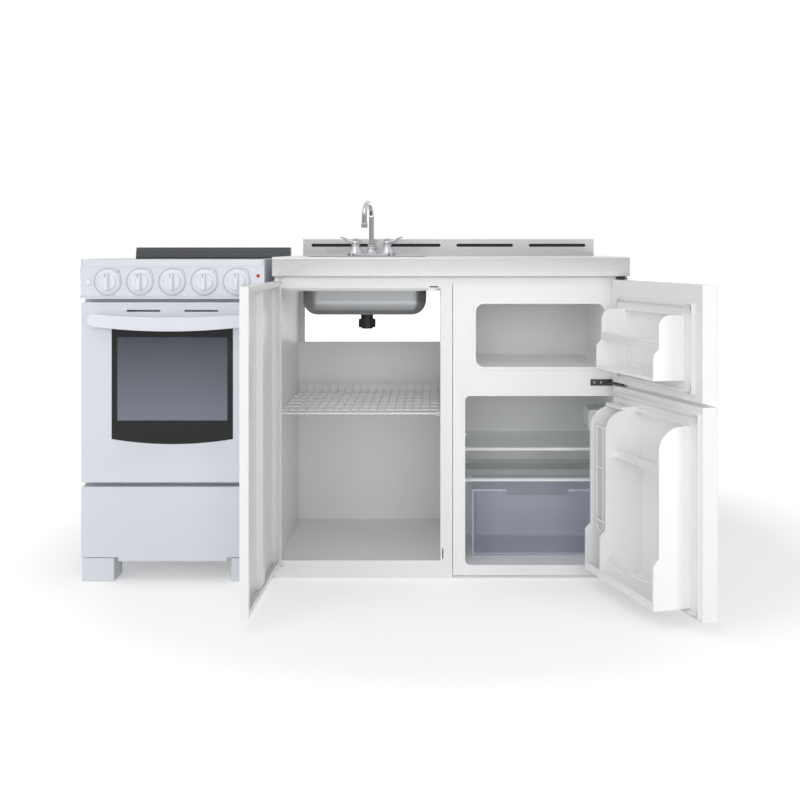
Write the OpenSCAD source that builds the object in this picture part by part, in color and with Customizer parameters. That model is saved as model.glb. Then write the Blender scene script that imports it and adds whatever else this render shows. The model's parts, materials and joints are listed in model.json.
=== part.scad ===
// Kitchenette: steel worktop unit with sink, cupboard and fridge-freezer, beside an electric range.
// Millimetres. X runs along the worktop from its middle, Y runs to the wall, Z runs up from the floor.
// The doors of the cupboard and of the fridge-freezer are drawn open, as they are photographed.

/* [Worktop] */
// Width of the steel worktop
top_w = 991; // [960:1:1040]
// Depth of the steel worktop
top_d = 622; // [600:1:650]
// Height of the worktop above the floor
top_z = 896; // [890:1:930]
// Depth of the turned-down front edge
lip_h = 53; // [46:1:56]
// Outer radius of the front fold
lip_r = 6; // [3:1:10]
// Width of the hem below the front edge
hem_w = 12; // [6:1:20]
// Thickness of the steel sheet
sheet = 1.5; // [1:0.1:2]

/* [Splashback] */
// Height of the splashback above the worktop
splash_h = 54; // [40:1:80]
// Depth of the splashback box
splash_d = 40; // [30:1:50]
// Distance from each worktop end to the splashback
splash_in = 20; // [5:1:40]
// Number of vent slots
slot_n = 4; // [2:1:5]
// Length of one vent slot
slot_w = 185; // [100:1:185]
// Height of one vent slot
slot_h = 10; // [6:1:14]
// Distance from one vent slot to the next
slot_pitch = 237; // [200:1:237]
// Height of the slots' middle above the worktop
slot_z = 34; // [25:1:40]
// Distance from the splashback's front sheet to the dark baffle
baffle_in = 8; // [5:1:15]

/* [Cupboard] */
// Distance from the cupboard's side to the end of the worktop
side_in = 3; // [2:0.5:6]
// Distance from the worktop's front edge back to the cupboard's face
face_in = 25; // [20:1:40]
// Distance from the worktop's back edge to the cupboard's back
rear_in = 11; // [5:1:30]
// Height of the base frame
base_h = 32; // [28:1:40]
// Width of the base frame's bars
base_w = 34; // [30:1:50]
// Height of the lip in front of the cupboard's floor
floor_lip = 17; // [8:1:25]
// Width of the post between the cupboard and the fridge-freezer
post_w = 33.5; // [30:0.5:40]
// Depth of that post
post_d = 30; // [20:1:40]
// Middle of that post, left of the worktop's middle
post_x = 12.2; // [8:0.1:15]
// Width of the side panel's front and back flanges
flange_w = 18.5; // [14:0.5:30]
// Height of the top rail that shows below the worktop's edge
rail_drop = 35; // [25:1:40]
// Depth of the top rail's lower flange
rail_d = 24; // [15:1:30]
// Top of the low back panel above the floor
back_top = 614; // [500:1:700]
// Distance from the low back panel to the cupboard's back
back_in = 23; // [15:1:40]
// Height of the wall rail at the back
wall_rail_h = 60; // [40:1:90]
// Distance between the two wall screws
wall_screw_pitch = 380; // [300:1:420]
// Radius of the wall screw holes
wall_screw_r = 4; // [3:0.5:6]

/* [Wire shelf] */
// Top of the wire shelf above the floor
shelf_z = 459; // [400:1:560]
// Distance from the wire shelf's rear lip to the low back panel
shelf_gap = 13; // [8:1:120]
// Distance from the cupboard's face to the wire shelf
shelf_in = 30; // [26:1:60]
// Distance from one long wire to the next
shelf_pitch = 25; // [20:1:40]
// Radius of the long wires
wire_r = 1.6; // [1.2:0.1:2]
// Radius of the cross wires
cross_r = 2.6; // [2:0.1:3]
// Number of cross wires
cross_n = 8; // [3:1:9]
// Height of the turned-up rear lip of the shelf
shelf_lip = 24; // [15:1:35]
// How far the shelf tabs stand out from the cupboard's walls
tab_w = 9; // [8:1:14]

/* [Cupboard door] */
// Thickness of the folded cupboard door
door_t = 22; // [18:1:24]
// Gap between a door and the face behind it
door_gap = 2; // [1.5:0.5:4]
// Bottom of the cupboard door above the floor
door_z = 39; // [39:1:50]
// Gap between the cupboard door and the worktop's lip
door_top_gap = 15; // [14:1:20]
// Distance from the door's hinge edge to its pin
pin_edge = 5.5; // [5:0.1:6]
// Distance from the door's inner plane to its pin
pin_in = 9; // [8:0.5:9.5]
// Overlap of the door's free edge on the post
door_lap = 7; // [4:1:15]
// Width of the door's inner flanges
door_flange = 14; // [10:1:25]
// Width of the stiffener down the door's middle
stiff_w = 46; // [30:1:70]
// Height of the pull pocket
pull_h = 130; // [90:1:160]
// Width of the pull pocket
pull_w = 40; // [30:1:50]
// Depth of the pull pocket
pull_d = 17; // [10:1:18]
// Height of the pull pocket's middle above the floor
pull_z = 572; // [500:1:650]
// Distance from the door's free edge to the pocket's middle
pull_in = 48; // [40:1:70]
// Angle at which the cupboard door stands open
door_open = 91.5; // [90:0.5:92]

/* [Hinges] */
// Radius of every door's hinge pin
pin_r = 4; // [3:0.5:5]
// Running gap round a pin
pin_gap = 0.1; // [0.05:0.01:0.1]
// Length of a pin in its socket
pin_l = 9; // [6:1:12]
// Thickness of the hinge brackets
bracket_t = 3; // [2:0.5:3]

/* [Sink] */
// Middle of the sink, left of the worktop's middle
sink_x = 248; // [240:1:252]
// Middle of the sink, in front of the worktop's middle
sink_y = 40; // [20:1:60]
// Width of the bowl
bowl_w = 356; // [300:1:370]
// Front to back size of the bowl
bowl_d = 320; // [260:1:340]
// Depth of the bowl below the worktop
bowl_h = 167; // [120:1:200]
// Radius of the bowl's edges
bowl_r = 42; // [25:1:55]
// Width of the bowl's rim under the worktop
bowl_rim = 14; // [8:1:20]
// Radius of the drain hole
drain_r = 16; // [14:0.5:19]
// Length of the drain's neck between the bowl and the nut
neck_h = 19; // [17:1:40]
// Depth of the strainer's basket in the neck
basket_h = 14; // [8:1:15]
// Radius of the drain's nut
nut_r = 25; // [22:0.5:30]
// Height of the drain's nut
nut_h = 25; // [12:1:30]
// Radius of the drain's tail pipe
tail_r = 17; // [15:0.5:19]
// Length of the tail pipe below the nut
tail_l = 4; // [2:1:30]

/* [Tap] */
// Distance from the worktop's middle back to the tap
tap_y = 195; // [190:1:215]
// Height of the spout above the worktop
tap_h = 176; // [150:1:260]
// Reach of the spout
tap_reach = 90; // [70:1:140]
// Angle at which the spout stands turned towards the range
spout_turn = 11; // [-40:1:40]
// Radius of the spout's tube
tube_r = 8; // [6:0.5:9]
// Distance between the two lever stems
lever_pitch = 101.6; // [101.6:0.1:102]
// Height of the bells below the levers
bell_h = 30; // [24:1:40]
// Reach of a lever
lever_l = 46; // [42:1:70]
// Radius of the threaded shanks
shank_r = 10.3; // [9:0.1:11]
// Length of the shanks below the worktop
shank_l = 60; // [45:1:80]
// Height of the tap's deck plate
tap_plate = 7; // [5:1:10]

/* [Refrigerator] */
// Height of the fridge-freezer's case above the floor
case_top = 818; // [818:1:825]
// Height of its feet
case_foot = 8; // [6:1:12]
// Distance from its case to the post beside it
case_gap = 1.5; // [0.5:0.1:4]
// Distance from the cupboard's back to the back of its case
case_rear = 16; // [12:1:24]
// Thickness of the moulded liners
liner_t = 3; // [2:0.5:3]
// Gap between a liner and the foam case
liner_gap = 0.2; // [0.1:0.05:0.3]
// Left edge of the freezer's opening from the worktop's middle
freezer_x = 70; // [60:1:80]
// Width of the freezer's opening
freezer_w = 360; // [330:1:362]
// Bottom of the freezer's opening above the floor
freezer_z = 589; // [585:1:600]
// Height of the freezer's opening
freezer_h = 176; // [150:1:180]
// Depth of the freezer's space
freezer_d = 380; // [300:1:430]
// Corner radius of the freezer's opening
freezer_r = 22; // [10:1:30]
// Left edge of the fridge's opening from the worktop's middle
fridge_x = 40; // [36:1:42]
// Width of the fridge's opening
fridge_w = 421; // [415:1:423]
// Bottom of the fridge's opening above the floor
fridge_z = 36; // [30:1:38]
// Height of the fridge's opening
fridge_h = 472; // [462:1:474]
// Depth of the fridge's upper space
fridge_d = 440; // [380:1:470]
// Depth of the fridge's lower space, in front of the compressor
fridge_low_d = 340; // [335:1:350]
// Height of the compressor step above the floor
step_z = 238; // [236:1:246]
// Corner radius of the fridge's opening
fridge_r = 14; // [8:1:20]
// Distance from the face to the fronts of the shelves and the crisper
inner_in = 108; // [106:1:115]
// Top of the upper glass shelf above the floor
glass_top = 343; // [330:1:360]
// Top of the lower glass shelf above the floor
glass_low = 254; // [252:1:262]
// Thickness of the glass shelves
glass_t = 4; // [3:0.5:5]
// How far a shelf rib stands out from the wall
rib_w = 9; // [6:1:12]
// Height of a shelf rib
rib_h = 5; // [4:1:7]
// Distance from one shelf rib to the next
rib_pitch = 45; // [36:1:60]

/* [Crisper] */
// Width of the crisper drawer
crisper_w = 364; // [330:1:368]
// Height of the crisper drawer
crisper_h = 184; // [150:1:188]
// Depth of the crisper drawer
crisper_d = 218; // [180:1:222]
// Wall of the crisper drawer
crisper_t = 3; // [2:0.5:4]
// Width of the crisper's grip notch
notch_w = 180; // [120:1:220]
// Depth of the crisper's grip notch
notch_h = 16; // [10:1:25]

/* [Fridge doors] */
// Thickness of the fridge doors
fdoor_t = 50; // [44:1:54]
// Distance from a fridge door to the case's face
seal_t = 8; // [7.5:0.1:9]
// Bottom of the lower door above the floor
low_door_z = 30; // [30:1:36]
// Bottom of the gap between the doors above the floor
doors_split = 541; // [540:1:544]
// Gap between the two doors
doors_gap = 10; // [9:1:12]
// Gap between the freezer door and the worktop's lip
fdoor_top_gap = 10; // [9:1:12]
// Distance from the case's right side to the pin
fpin_side = 18; // [17:0.5:18.5]
// Distance from the case's face forward to the pin
fpin_out = 30; // [30:0.5:34]
// Reach of the middle hinge's plate from the pin
hinge_plate = 85; // [60:1:100]
// Crown radius of the doors' outer faces
crown_r = 4200; // [3000:100:8000]
// Radius of the doors' outer edges
fdoor_r = 14; // [12:1:16]
// Depth of the recess inside each door
recess_d = 24; // [12:1:26]
// How far the lower door's racks reach into the fridge
rack_d = 92; // [70:1:94]
// How far the freezer door's rack reaches into the freezer
freezer_rack_d = 74; // [50:1:78]
// How far each rack's upper part stands back from its lower part
rack_step = 15; // [0:1:20]
// Thickness of the racks' walls
rack_t = 8; // [6:0.5:10]
// Width of the can column beside the hinge
can_w = 84; // [70:1:90]
// Height of the bottle bay's front wall
bay_h = 20; // [10:1:40]
// Height of the bottle bar above the floor of its bay
bar_h = 55; // [40:1:90]
// How far the bottle bar bows out
bar_bow = 22; // [5:1:24]
// Radius of the retainers' wire
retain_r = 2.5; // [2:0.1:3.5]
// Angle at which the fridge doors stand open
fdoor_open = 107; // [105:1:109]

/* [Range] */
// Width of the range
range_w = 508; // [495:1:520]
// Thickness of the range's steel casing
skin = 2; // [1.5:0.1:2.5]
// Gap between the range and the worktop
range_gap = 19.5; // [19:0.5:40]
// Distance from the worktop's front edge forward to the range's face
range_ahead = 12; // [8:1:14]
// Height of the cooking surface above the floor
range_top = 890; // [880:1:900]
// Height of the feet
foot_h = 65; // [50:1:65]
// Width of a foot
foot_w = 88; // [60:1:100]
// Distance from the range's sides and face to the feet
foot_in = 4; // [2:1:12]
// Thickness of the cooktop frame
cap_h = 20; // [16:1:26]
// Height of the control panel
panel_h = 89; // [84:1:95]
// Depth of the vent gap below the control panel
vent_h = 10; // [8:1:14]
// Height of the backguard above the cooking surface
guard_h = 33; // [25:1:60]
// Thickness of the hob's glass
hob_t = 6; // [4:1:8]
// Distance from the body's front to the range's face
panel_d = 42; // [41:1:46]

/* [Oven] */
// Height of the oven door
oven_door_h = 497; // [480:1:500]
// Thickness of the oven door
oven_door_t = 38; // [34:1:38]
// Gap at each side of the oven door and of the drawer's front
range_side = 2; // [1.5:0.5:4]
// Width of the oven window's black border
window_w = 334; // [300:1:360]
// Bottom of the black border above the floor
window_z = 380; // [370:1:400]
// Top of the black border above the floor
window_top = 701; // [690:1:701]
// Width of the clear window
clear_w = 306; // [260:1:306]
// Bottom of the clear window above the floor
clear_z = 444; // [430:1:460]
// Top of the clear window above the floor
clear_top = 676; // [650:1:680]
// Depth of the curve along the window's lower edge
window_curve = 14; // [8:1:20]
// Length of the oven handle
handle_w = 456; // [430:1:481]
// Height of the oven handle at its ends
handle_h = 34; // [28:1:36]
// Drop of the handle's upper edge from its ends to its middle
handle_sag = 8; // [4:1:12]
// Drop of the handle's lower edge from its ends to its middle
handle_belly = 12; // [6:1:16]
// Distance from the top of the door to the handle's middle
handle_drop = 48; // [46:1:60]
// How far the handle stands out from the door
handle_out = 44; // [38:1:46]
// Width of the oven's space
oven_w = 400; // [380:1:420]
// Height of the oven's space
oven_h = 372; // [340:1:380]
// Bottom of the oven's space above the floor
oven_z = 356; // [350:1:365]
// Depth of the oven's space
oven_d = 420; // [380:1:440]
// Height of the lowest oven rack above the floor
rack_z = 446; // [430:1:460]
// Distance from one oven rack to the next
rack_pitch = 94; // [80:1:100]

/* [Range drawer] */
// Height of the drawer's front
drawer_h = 195; // [180:1:195]
// Gap between the oven door and the drawer
drawer_gap = 12; // [10:1:16]
// Drop of the drawer's front between the feet
skirt_h = 11; // [6:1:14]
// Width of the drawer's box
box_w = 462; // [430:1:465]
// Height of the drawer's runners
runner_h = 8; // [5:1:12]
// Depth of the drawer's box
box_d = 520; // [440:1:530]
// Height of the drawer's box
box_h = 120; // [90:1:140]
// Wall of the drawer's box
box_t = 2; // [1.5:0.5:3]

/* [Knobs] */
// Number of knobs
knob_n = 5; // [5:1:5]
// Distance from one knob to the next
knob_pitch = 89; // [84:1:90]
// Radius of a knob's skirt
knob_r = 34; // [28:1:36]
// Height of the knobs' middle below the cooktop frame
knob_drop = 42; // [40:1:46]
// How far a knob stands out from the panel
knob_out = 28; // [20:1:32]
// Radius of the light button
button_r = 9; // [6:0.5:10]
// Distance from the range's left end to the button
button_in = 22; // [16:1:24]
// Radius of the indicator lamp
lamp_r = 5; // [3.5:0.5:6]
// Distance from the range's right end to the lamp
lamp_in = 17; // [14:1:20]

/* [Hidden] */
$fn = 48;
// Overshoot of a cutter past the face that it cuts
cut = 1;
// Gap between pieces that must not rub
clear = 0.3;

// Worktop and cupboard planes
top_l = -top_w / 2;
top_r = top_w / 2;
front_y = -top_d / 2;
back_y = top_d / 2;
face_y = front_y + face_in;
rear_y = back_y - rear_in;
unit_l = top_l + side_in;
unit_r = top_r - side_in;
deck_z = top_z - sheet;
lip_z = top_z - lip_h;
post_l = -post_x - post_w / 2;
post_r = post_l + post_w;
inner_l = unit_l + sheet;
rail_l = inner_l + flange_w;
rail_z = lip_z - rail_drop;
sink_c = [-sink_x, -sink_y];

// Cupboard door, drawn shut and then turned about its pin
door_l = unit_l + 2;
door_r = post_l + door_lap;
door_top = lip_z - door_top_gap;
door_in = face_y - door_gap;
door_out = door_in - door_t;
door_pin = [door_l + pin_edge, door_in - pin_in];
pull_x = door_r - pull_in;

// Fridge-freezer
case_l = post_r + case_gap;
case_back = rear_y - case_rear;
inner_y = face_y + inner_in;
fdoor_in = face_y - seal_t;
fdoor_out = fdoor_in - fdoor_t;
fdoor_pin = [unit_r - fpin_side, face_y - fpin_out];
top_door_z = doors_split + doors_gap;
top_door_top = lip_z - fdoor_top_gap;
freezer_r_x = freezer_x + freezer_w;
freezer_top = freezer_z + freezer_h;
fridge_r_x = fridge_x + fridge_w;
fridge_top = fridge_z + fridge_h;

// Range
range_r = top_l - range_gap;
range_l = range_r - range_w;
range_c = (range_l + range_r) / 2;
range_face = front_y - range_ahead;
body_y = range_face + panel_d;
cap_z = range_top - cap_h;
panel_z = cap_z - panel_h;
oven_door_top = panel_z - vent_h;
oven_door_z = oven_door_top - oven_door_h;
drawer_top = oven_door_z - drawer_gap;
drawer_z = drawer_top - drawer_h;
knob_z = cap_z - knob_drop;

// ---------- Shared shapes ----------

module block(lo, hi) {
    translate(lo)
        cube(hi - lo);
}

// Upright cylinder
module post(at, r, h) {
    translate(at)
        cylinder(r = r, h = h);
}

// Cylinder that points to the front
module peg(at, r, h) {
    translate(at)
        rotate([90, 0, 0])
            cylinder(r = r, h = h);
}

// Sweep of a (Y, Z) outline from x0 to x1
module along_x(x0, x1) {
    translate([x0, 0, 0])
        rotate([90, 0, 90])
            linear_extrude(x1 - x0)
                children();
}

// Sweep of an (X, Z) outline from y0 to y1
module along_y(y0, y1) {
    translate([0, y1, 0])
        rotate([90, 0, 0])
            linear_extrude(y1 - y0)
                children();
}

// Sweep of an (X, Y) outline from z0 to z1
module along_z(z0, z1) {
    translate([0, 0, z0])
        linear_extrude(z1 - z0)
            children();
}

module rect(lo, hi) {
    translate(lo)
        square(hi - lo);
}

// Rectangle with round corners
module round_rect(lo, hi, r) {
    rect([lo.x + r, lo.y], [hi.x - r, hi.y]);
    rect([lo.x, lo.y + r], [hi.x, hi.y - r]);
    for (x = [lo.x + r, hi.x - r], y = [lo.y + r, hi.y - r])
        translate([x, y])
            circle(r);
}

// Frame between two rectangles with round corners
module round_frame(lo, hi, r, width) {
    difference() {
        round_rect(lo, hi, r);
        round_rect(lo + [width, width], hi - [width, width], max(r - width, 1));
    }
}

// Radius of the arc over a half chord that bulges by the given amount
function arc_radius(half, bulge) = (half * half + bulge * bulge) / (2 * bulge);

module disc(at, r) {
    translate(at)
        circle(r);
}

// Open-topped tub, its upright and bottom edges rounded alike
module tub(lo, hi, r) {
    along_z(lo.z + r, hi.z)
        round_rect([lo.x, lo.y], [hi.x, hi.y], r);
    block([lo.x + r, lo.y + r, lo.z], [hi.x - r, hi.y - r, lo.z + r]);
    along_x(lo.x + r, hi.x - r)
        for (y = [lo.y + r, hi.y - r])
            disc([y, lo.z + r], r);
    along_y(lo.y + r, hi.y - r)
        for (x = [lo.x + r, hi.x - r])
            disc([x, lo.z + r], r);
    for (x = [lo.x + r, hi.x - r], y = [lo.y + r, hi.y - r])
        translate([x, y, lo.z + r])
            sphere(r);
}

// Turns what is drawn shut about an upright pin
module swung(pin, angle) {
    translate([pin.x, pin.y, 0])
        rotate([0, 0, angle])
            translate([-pin.x, -pin.y, 0])
                children();
}

module cupboard_open() {
    swung(door_pin, -door_open)
        children();
}

module fridge_open() {
    swung(fdoor_pin, fdoor_open)
        children();
}

// ---------- Cupboard ----------

module base_frame() {
    color("white")
        difference() {
            union() {
                block([unit_l, face_y, 0], [post_r, rear_y, base_h]);
                block([rail_l, face_y, base_h - cut], [post_l, face_y + sheet, base_h + floor_lip]);
                // Lower bracket of the cupboard door's hinge
                block([door_l + 2, face_y - bracket_t, base_h / 2], [door_l + 26, face_y, door_z - 2]);
                block([door_l + 2, door_pin.y - 8, door_z - 5], [door_l + 26, face_y, door_z - 2]);
            }
            block([unit_l + base_w, face_y + base_w, -cut], [post_l, rear_y - base_w, base_h + cut]);
            post([door_pin.x, door_pin.y, door_z - 5 - cut], pin_r + pin_gap, 3 + 2 * cut);
        }
}

module cupboard_floor() {
    color("gainsboro")
        block([inner_l, face_y + sheet, base_h], [post_l, rear_y - sheet, base_h + sheet]);
}

module side_panel() {
    color("white")
        union() {
            along_z(base_h + 2 * sheet, deck_z) {
                rect([unit_l, face_y], [inner_l, rear_y]);
                rect([unit_l, face_y], [rail_l, face_y + sheet]);
                rect([unit_l, rear_y - sheet], [rail_l, rear_y]);
            }
            block([unit_l, face_y, base_h], [inner_l, rear_y, deck_z]);
            shelf_tabs(inner_l, inner_l + tab_w);
        }
}

// Tabs that carry the cross wires' ends
module shelf_tabs(x0, x1) {
    for (y = [shelf_cross(0), shelf_cross(cross_n - 1)])
        block([x0, y - 8, shelf_seat - 3], [x1, y + 8, shelf_seat]);
}

module partition() {
    slot_x = post_l + 5;
    color("white")
        difference() {
            union() {
                along_z(base_h, deck_z) {
                    difference() {
                        rect([post_l, face_y], [post_r, face_y + post_d]);
                        rect([post_l + sheet, face_y + sheet], [post_r - sheet, face_y + post_d - sheet]);
                    }
                    rect([post_l, face_y + post_d - cut], [post_l + sheet, rear_y]);
                    rect([post_l, rear_y - sheet], [post_l + flange_w, rear_y]);
                }
                shelf_tabs(post_l - tab_w, post_l);
            }
            block([slot_x, face_y - cut, base_h + 22], [slot_x + 3, face_y + sheet + cut, base_h + 50]);
        }
}

// Rail behind the worktop's edge: one length over the cupboard, one over the fridge-freezer
module top_rail() {
    rail_back = face_y + rail_d;
    color("white")
        difference() {
            union() {
                along_x(rail_l, post_l) {
                    rect([face_y, rail_z], [face_y + sheet, deck_z]);
                    rect([face_y, rail_z], [rail_back, rail_z + sheet]);
                    rect([rail_back - sheet, rail_z - 7], [rail_back, rail_z + sheet]);
                }
                along_x(post_r, unit_r) {
                    rect([face_y, case_top], [face_y + sheet, deck_z]);
                    rect([face_y, case_top], [rail_back, case_top + sheet]);
                }
                block([unit_r - sheet, face_y, case_top], [unit_r, rear_y, deck_z]);
                // Strike for the door's catch
                block([post_l - 34, face_y + sheet, rail_z - 9], [post_l - 12, face_y + 2 * sheet, rail_z + 1]);
                // Upper bracket of the cupboard door's hinge
                block([door_l + 2, door_pin.y - 8, door_top + 2], [rail_l + 14, face_y, door_top + 5]);
                block([rail_l + 2, face_y - bracket_t, door_top + 2], [rail_l + 14, face_y, door_top + 12]);
            }
            post([door_pin.x, door_pin.y, door_top + 2 - cut], pin_r + pin_gap, 3 + 2 * cut);
        }
}

module back_panel() {
    low_y = rear_y - back_in;
    rail_mid = (inner_l + post_l) / 2;
    color("gainsboro")
        difference() {
            union() {
                block([inner_l, low_y, base_h + sheet], [post_l, low_y + sheet, back_top]);
                block([inner_l, low_y, back_top - sheet], [post_l, low_y + 12, back_top]);
                block([inner_l, rear_y - 2 * sheet, deck_z - wall_rail_h], [post_l, rear_y - sheet, deck_z]);
                block([inner_l, rear_y - 14, deck_z - wall_rail_h], [post_l, rear_y - sheet, deck_z - wall_rail_h + sheet]);
            }
            for (x = [rail_mid - wall_screw_pitch / 2, rail_mid + wall_screw_pitch / 2])
                peg([x, rear_y + cut, deck_z - wall_rail_h / 2], wall_screw_r, 4 * sheet);
        }
}

// ---------- Worktop, splashback and sink ----------

module worktop_end() {
    rect([front_y + lip_r, lip_z], [back_y, top_z]);
    rect([front_y, lip_z], [front_y + lip_r, top_z - lip_r]);
    disc([front_y + lip_r, top_z - lip_r], lip_r);
}

module worktop_hollow() {
    r = max(lip_r - sheet, 1);
    rect([front_y + sheet + r, lip_z - cut], [back_y + cut, deck_z]);
    rect([front_y + sheet, lip_z - cut], [front_y + sheet + r, deck_z - r]);
    disc([front_y + sheet + r, deck_z - r], r);
}

module worktop() {
    color("silver")
        difference() {
            union() {
                difference() {
                    along_x(top_l, top_r)
                        worktop_end();
                    along_x(top_l + sheet, top_r - sheet)
                        worktop_hollow();
                }
                block([top_l, front_y, lip_z], [top_r, front_y + hem_w, lip_z + sheet]);
            }
            along_z(deck_z - cut, top_z + cut)
                round_rect(
                    sink_c - [bowl_w / 2 - sheet, bowl_d / 2 - sheet],
                    sink_c + [bowl_w / 2 - sheet, bowl_d / 2 - sheet],
                    bowl_r - sheet
                );
            for (side = [-1, 1])
                post([sink_c.x + side * lever_pitch / 2, tap_y, deck_z - cut], shank_r + 2, sheet + 2 * cut);
            // Warm air from the fridge-freezer rises through this opening
            block([case_l + 30, back_y - splash_d + 14, deck_z - cut], [unit_r - 40, back_y - 14, top_z + cut]);
        }
}

module splashback() {
    l = top_l + splash_in;
    r = top_r - splash_in;
    y = back_y - splash_d;
    color("silver")
        difference() {
            block([l, y, top_z], [r, back_y, top_z + splash_h]);
            block([l + sheet, y + sheet, top_z - cut], [r - sheet, back_y - sheet, top_z + splash_h - sheet]);
            along_y(y - cut, y + sheet + cut)
                for (i = [0 : slot_n - 1])
                    vent_slot((i - (slot_n - 1) / 2) * slot_pitch, top_z + slot_z);
        }
}

// Slot with round ends
module vent_slot(x, z) {
    r = slot_h / 2;
    rect([x - slot_w / 2 + r, z - r], [x + slot_w / 2 - r, z + r]);
    for (side = [-1, 1])
        disc([x + side * (slot_w / 2 - r), z], r);
}

// Dark bent strip behind the slots
module vent_baffle() {
    y = back_y - splash_d + sheet + baffle_in;
    half = (slot_n * slot_pitch) / 2 - 12;
    color("black")
        along_x(-half, half) {
            rect([y, top_z], [y + sheet, top_z + splash_h - 4]);
            rect([y - 6, top_z], [y, top_z + sheet]);
        }
}

module sink_bowl() {
    out = [bowl_w / 2, bowl_d / 2];
    low = sink_c - out;
    high = sink_c + out;
    bottom = deck_z - bowl_h;
    color("lightgray")
        difference() {
            union() {
                tub([low.x, low.y, bottom], [high.x, high.y, deck_z], bowl_r);
                along_z(deck_z - sheet, deck_z)
                    round_rect(low - [bowl_rim, bowl_rim], high + [bowl_rim, bowl_rim], bowl_r);
            }
            tub(
                [low.x + sheet, low.y + sheet, bottom + sheet],
                [high.x - sheet, high.y - sheet, deck_z + cut],
                bowl_r - sheet
            );
            post([sink_c.x, sink_c.y, bottom - cut], drain_r, sheet + 2 * cut);
        }
}

module sink_strainer() {
    color("silver")
        translate([sink_c.x, sink_c.y, deck_z - bowl_h + sheet])
            difference() {
                union() {
                    cylinder(r = drain_r + 14, h = 2);
                    post([0, 0, -basket_h], drain_r - 0.5, basket_h + 1);
                }
                post([0, 0, -basket_h + 2], drain_r - 2.5, basket_h + 2);
                for (turn = [0 : 45 : 315])
                    rotate([0, 0, turn])
                        post([drain_r / 2, 0, -basket_h - cut], 1.8, 4);
            }
}

// Washer, neck, union nut and the start of the tail pipe
module drain_tail() {
    neck_low = -neck_h;
    nut_low = neck_low - nut_h;
    color("black")
        translate([sink_c.x, sink_c.y, deck_z - bowl_h])
            difference() {
                union() {
                    post([0, 0, -3], drain_r + 9, 3);
                    post([0, 0, neck_low - cut], drain_r + 2.5, neck_h);
                    post([0, 0, nut_low], nut_r, nut_h);
                    post([0, 0, nut_low - tail_l], tail_r, tail_l + cut);
                }
                post([0, 0, neck_low - 2], drain_r, neck_h + 2 + cut);
                post([0, 0, nut_low - tail_l - cut], tail_r - 2, nut_h + tail_l);
            }
}

// ---------- Tap ----------

// Outline of a bell below a lever, turned about its stem
module bell(r0, r1, h) {
    steps = 6;
    rotate_extrude()
        polygon(concat(
            [[0, 0]],
            [for (i = [0 : steps]) [r1 + (r0 - r1) * (1 - sin(90 * i / steps)), h * i / steps]],
            [[0, h]]
        ));
}

module tap_body() {
    color("silver")
        translate([sink_c.x, tap_y, 0]) {
            along_z(top_z, top_z + tap_plate) {
                rect([-lever_pitch / 2, -25], [lever_pitch / 2, 25]);
                for (side = [-1, 1])
                    disc([side * lever_pitch / 2, 0], 25);
            }
            translate([0, 0, top_z + tap_plate])
                bell(20, tube_r + 4, 16);
            for (side = [-1, 1])
                translate([side * lever_pitch / 2, 0, 0]) {
                    translate([0, 0, top_z + tap_plate])
                        bell(23, 12, bell_h);
                    post([0, 0, deck_z - shank_l], shank_r, shank_l + sheet + tap_plate / 2);
                    translate([0, 0, deck_z - 9])
                        cylinder(r = shank_r + 7, h = 9, $fn = 6);
                }
        }
}

module tap_spout() {
    r = tap_reach / 2;
    low = top_z + tap_plate + 16 + clear;
    bend_z = top_z + tap_h - tube_r - r;
    color("silver")
        translate([sink_c.x, tap_y, 0])
            rotate([0, 0, -spout_turn]) {
                post([0, 0, low], tube_r + 3, 9);
                post([0, 0, low], tube_r, bend_z - low);
                translate([0, -r, bend_z])
                    rotate([90, 0, 90])
                        rotate_extrude(angle = 180)
                            translate([r, 0])
                                circle(tube_r);
                post([0, -tap_reach, bend_z - 24], tube_r, 24);
                post([0, -tap_reach, bend_z - 34], tube_r + 2, 16);
            }
}

// Lever whose wing rises and runs out from the hub
module lever(side) {
    low = top_z + tap_plate + bell_h + clear;
    wing = [[0, 9, 6.5], [0.4, 12, 5.5], [0.75, 20, 4.5], [1, 22, 4]];
    translate([sink_c.x + side * lever_pitch / 2, tap_y, low]) {
        cylinder(r = 12, h = 14);
        post([0, 0, 14], 7, 4);
        for (i = [0 : len(wing) - 2])
            hull()
                for (p = [wing[i], wing[i + 1]])
                    translate([side * lever_l * p[0], 0, p[1]])
                        sphere(p[2], $fn = 20);
    }
}

module lever_left() {
    color("silver")
        lever(-1);
}

module lever_right() {
    color("silver")
        lever(1);
}

// ---------- Wire shelf ----------

wire_z = shelf_z - wire_r;
cross_z = wire_z - wire_r - cross_r + 0.5;
shelf_seat = cross_z - cross_r - clear;
shelf_y0 = face_y + shelf_in;
shelf_y1 = rear_y - back_in - shelf_gap;
function shelf_cross(i) = shelf_y0 + 6 + i * (shelf_y1 - shelf_y0 - 12) / (cross_n - 1);

module wire_shelf() {
    l = inner_l + 2;
    r = post_l - 2;
    n = floor((r - l - 4) / shelf_pitch);
    first = (l + r) / 2 - n * shelf_pitch / 2;
    color("white")
        union() {
            along_x(l, r) {
                for (i = [0 : cross_n - 1])
                    translate([shelf_cross(i), cross_z])
                        rotate(22.5)
                            circle(cross_r, $fn = 8);
                translate([shelf_y1 - cross_r, shelf_z + shelf_lip])
                    circle(cross_r, $fn = 8);
            }
            along_y(shelf_y0, shelf_y1)
                for (i = [0 : n])
                    translate([first + i * shelf_pitch, wire_z])
                        circle(wire_r, $fn = 6);
            along_z(wire_z, shelf_z + shelf_lip)
                for (i = [0 : n])
                    translate([first + i * shelf_pitch, shelf_y1 - cross_r])
                        circle(wire_r, $fn = 6);
        }
}

// ---------- Cupboard door ----------

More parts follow.
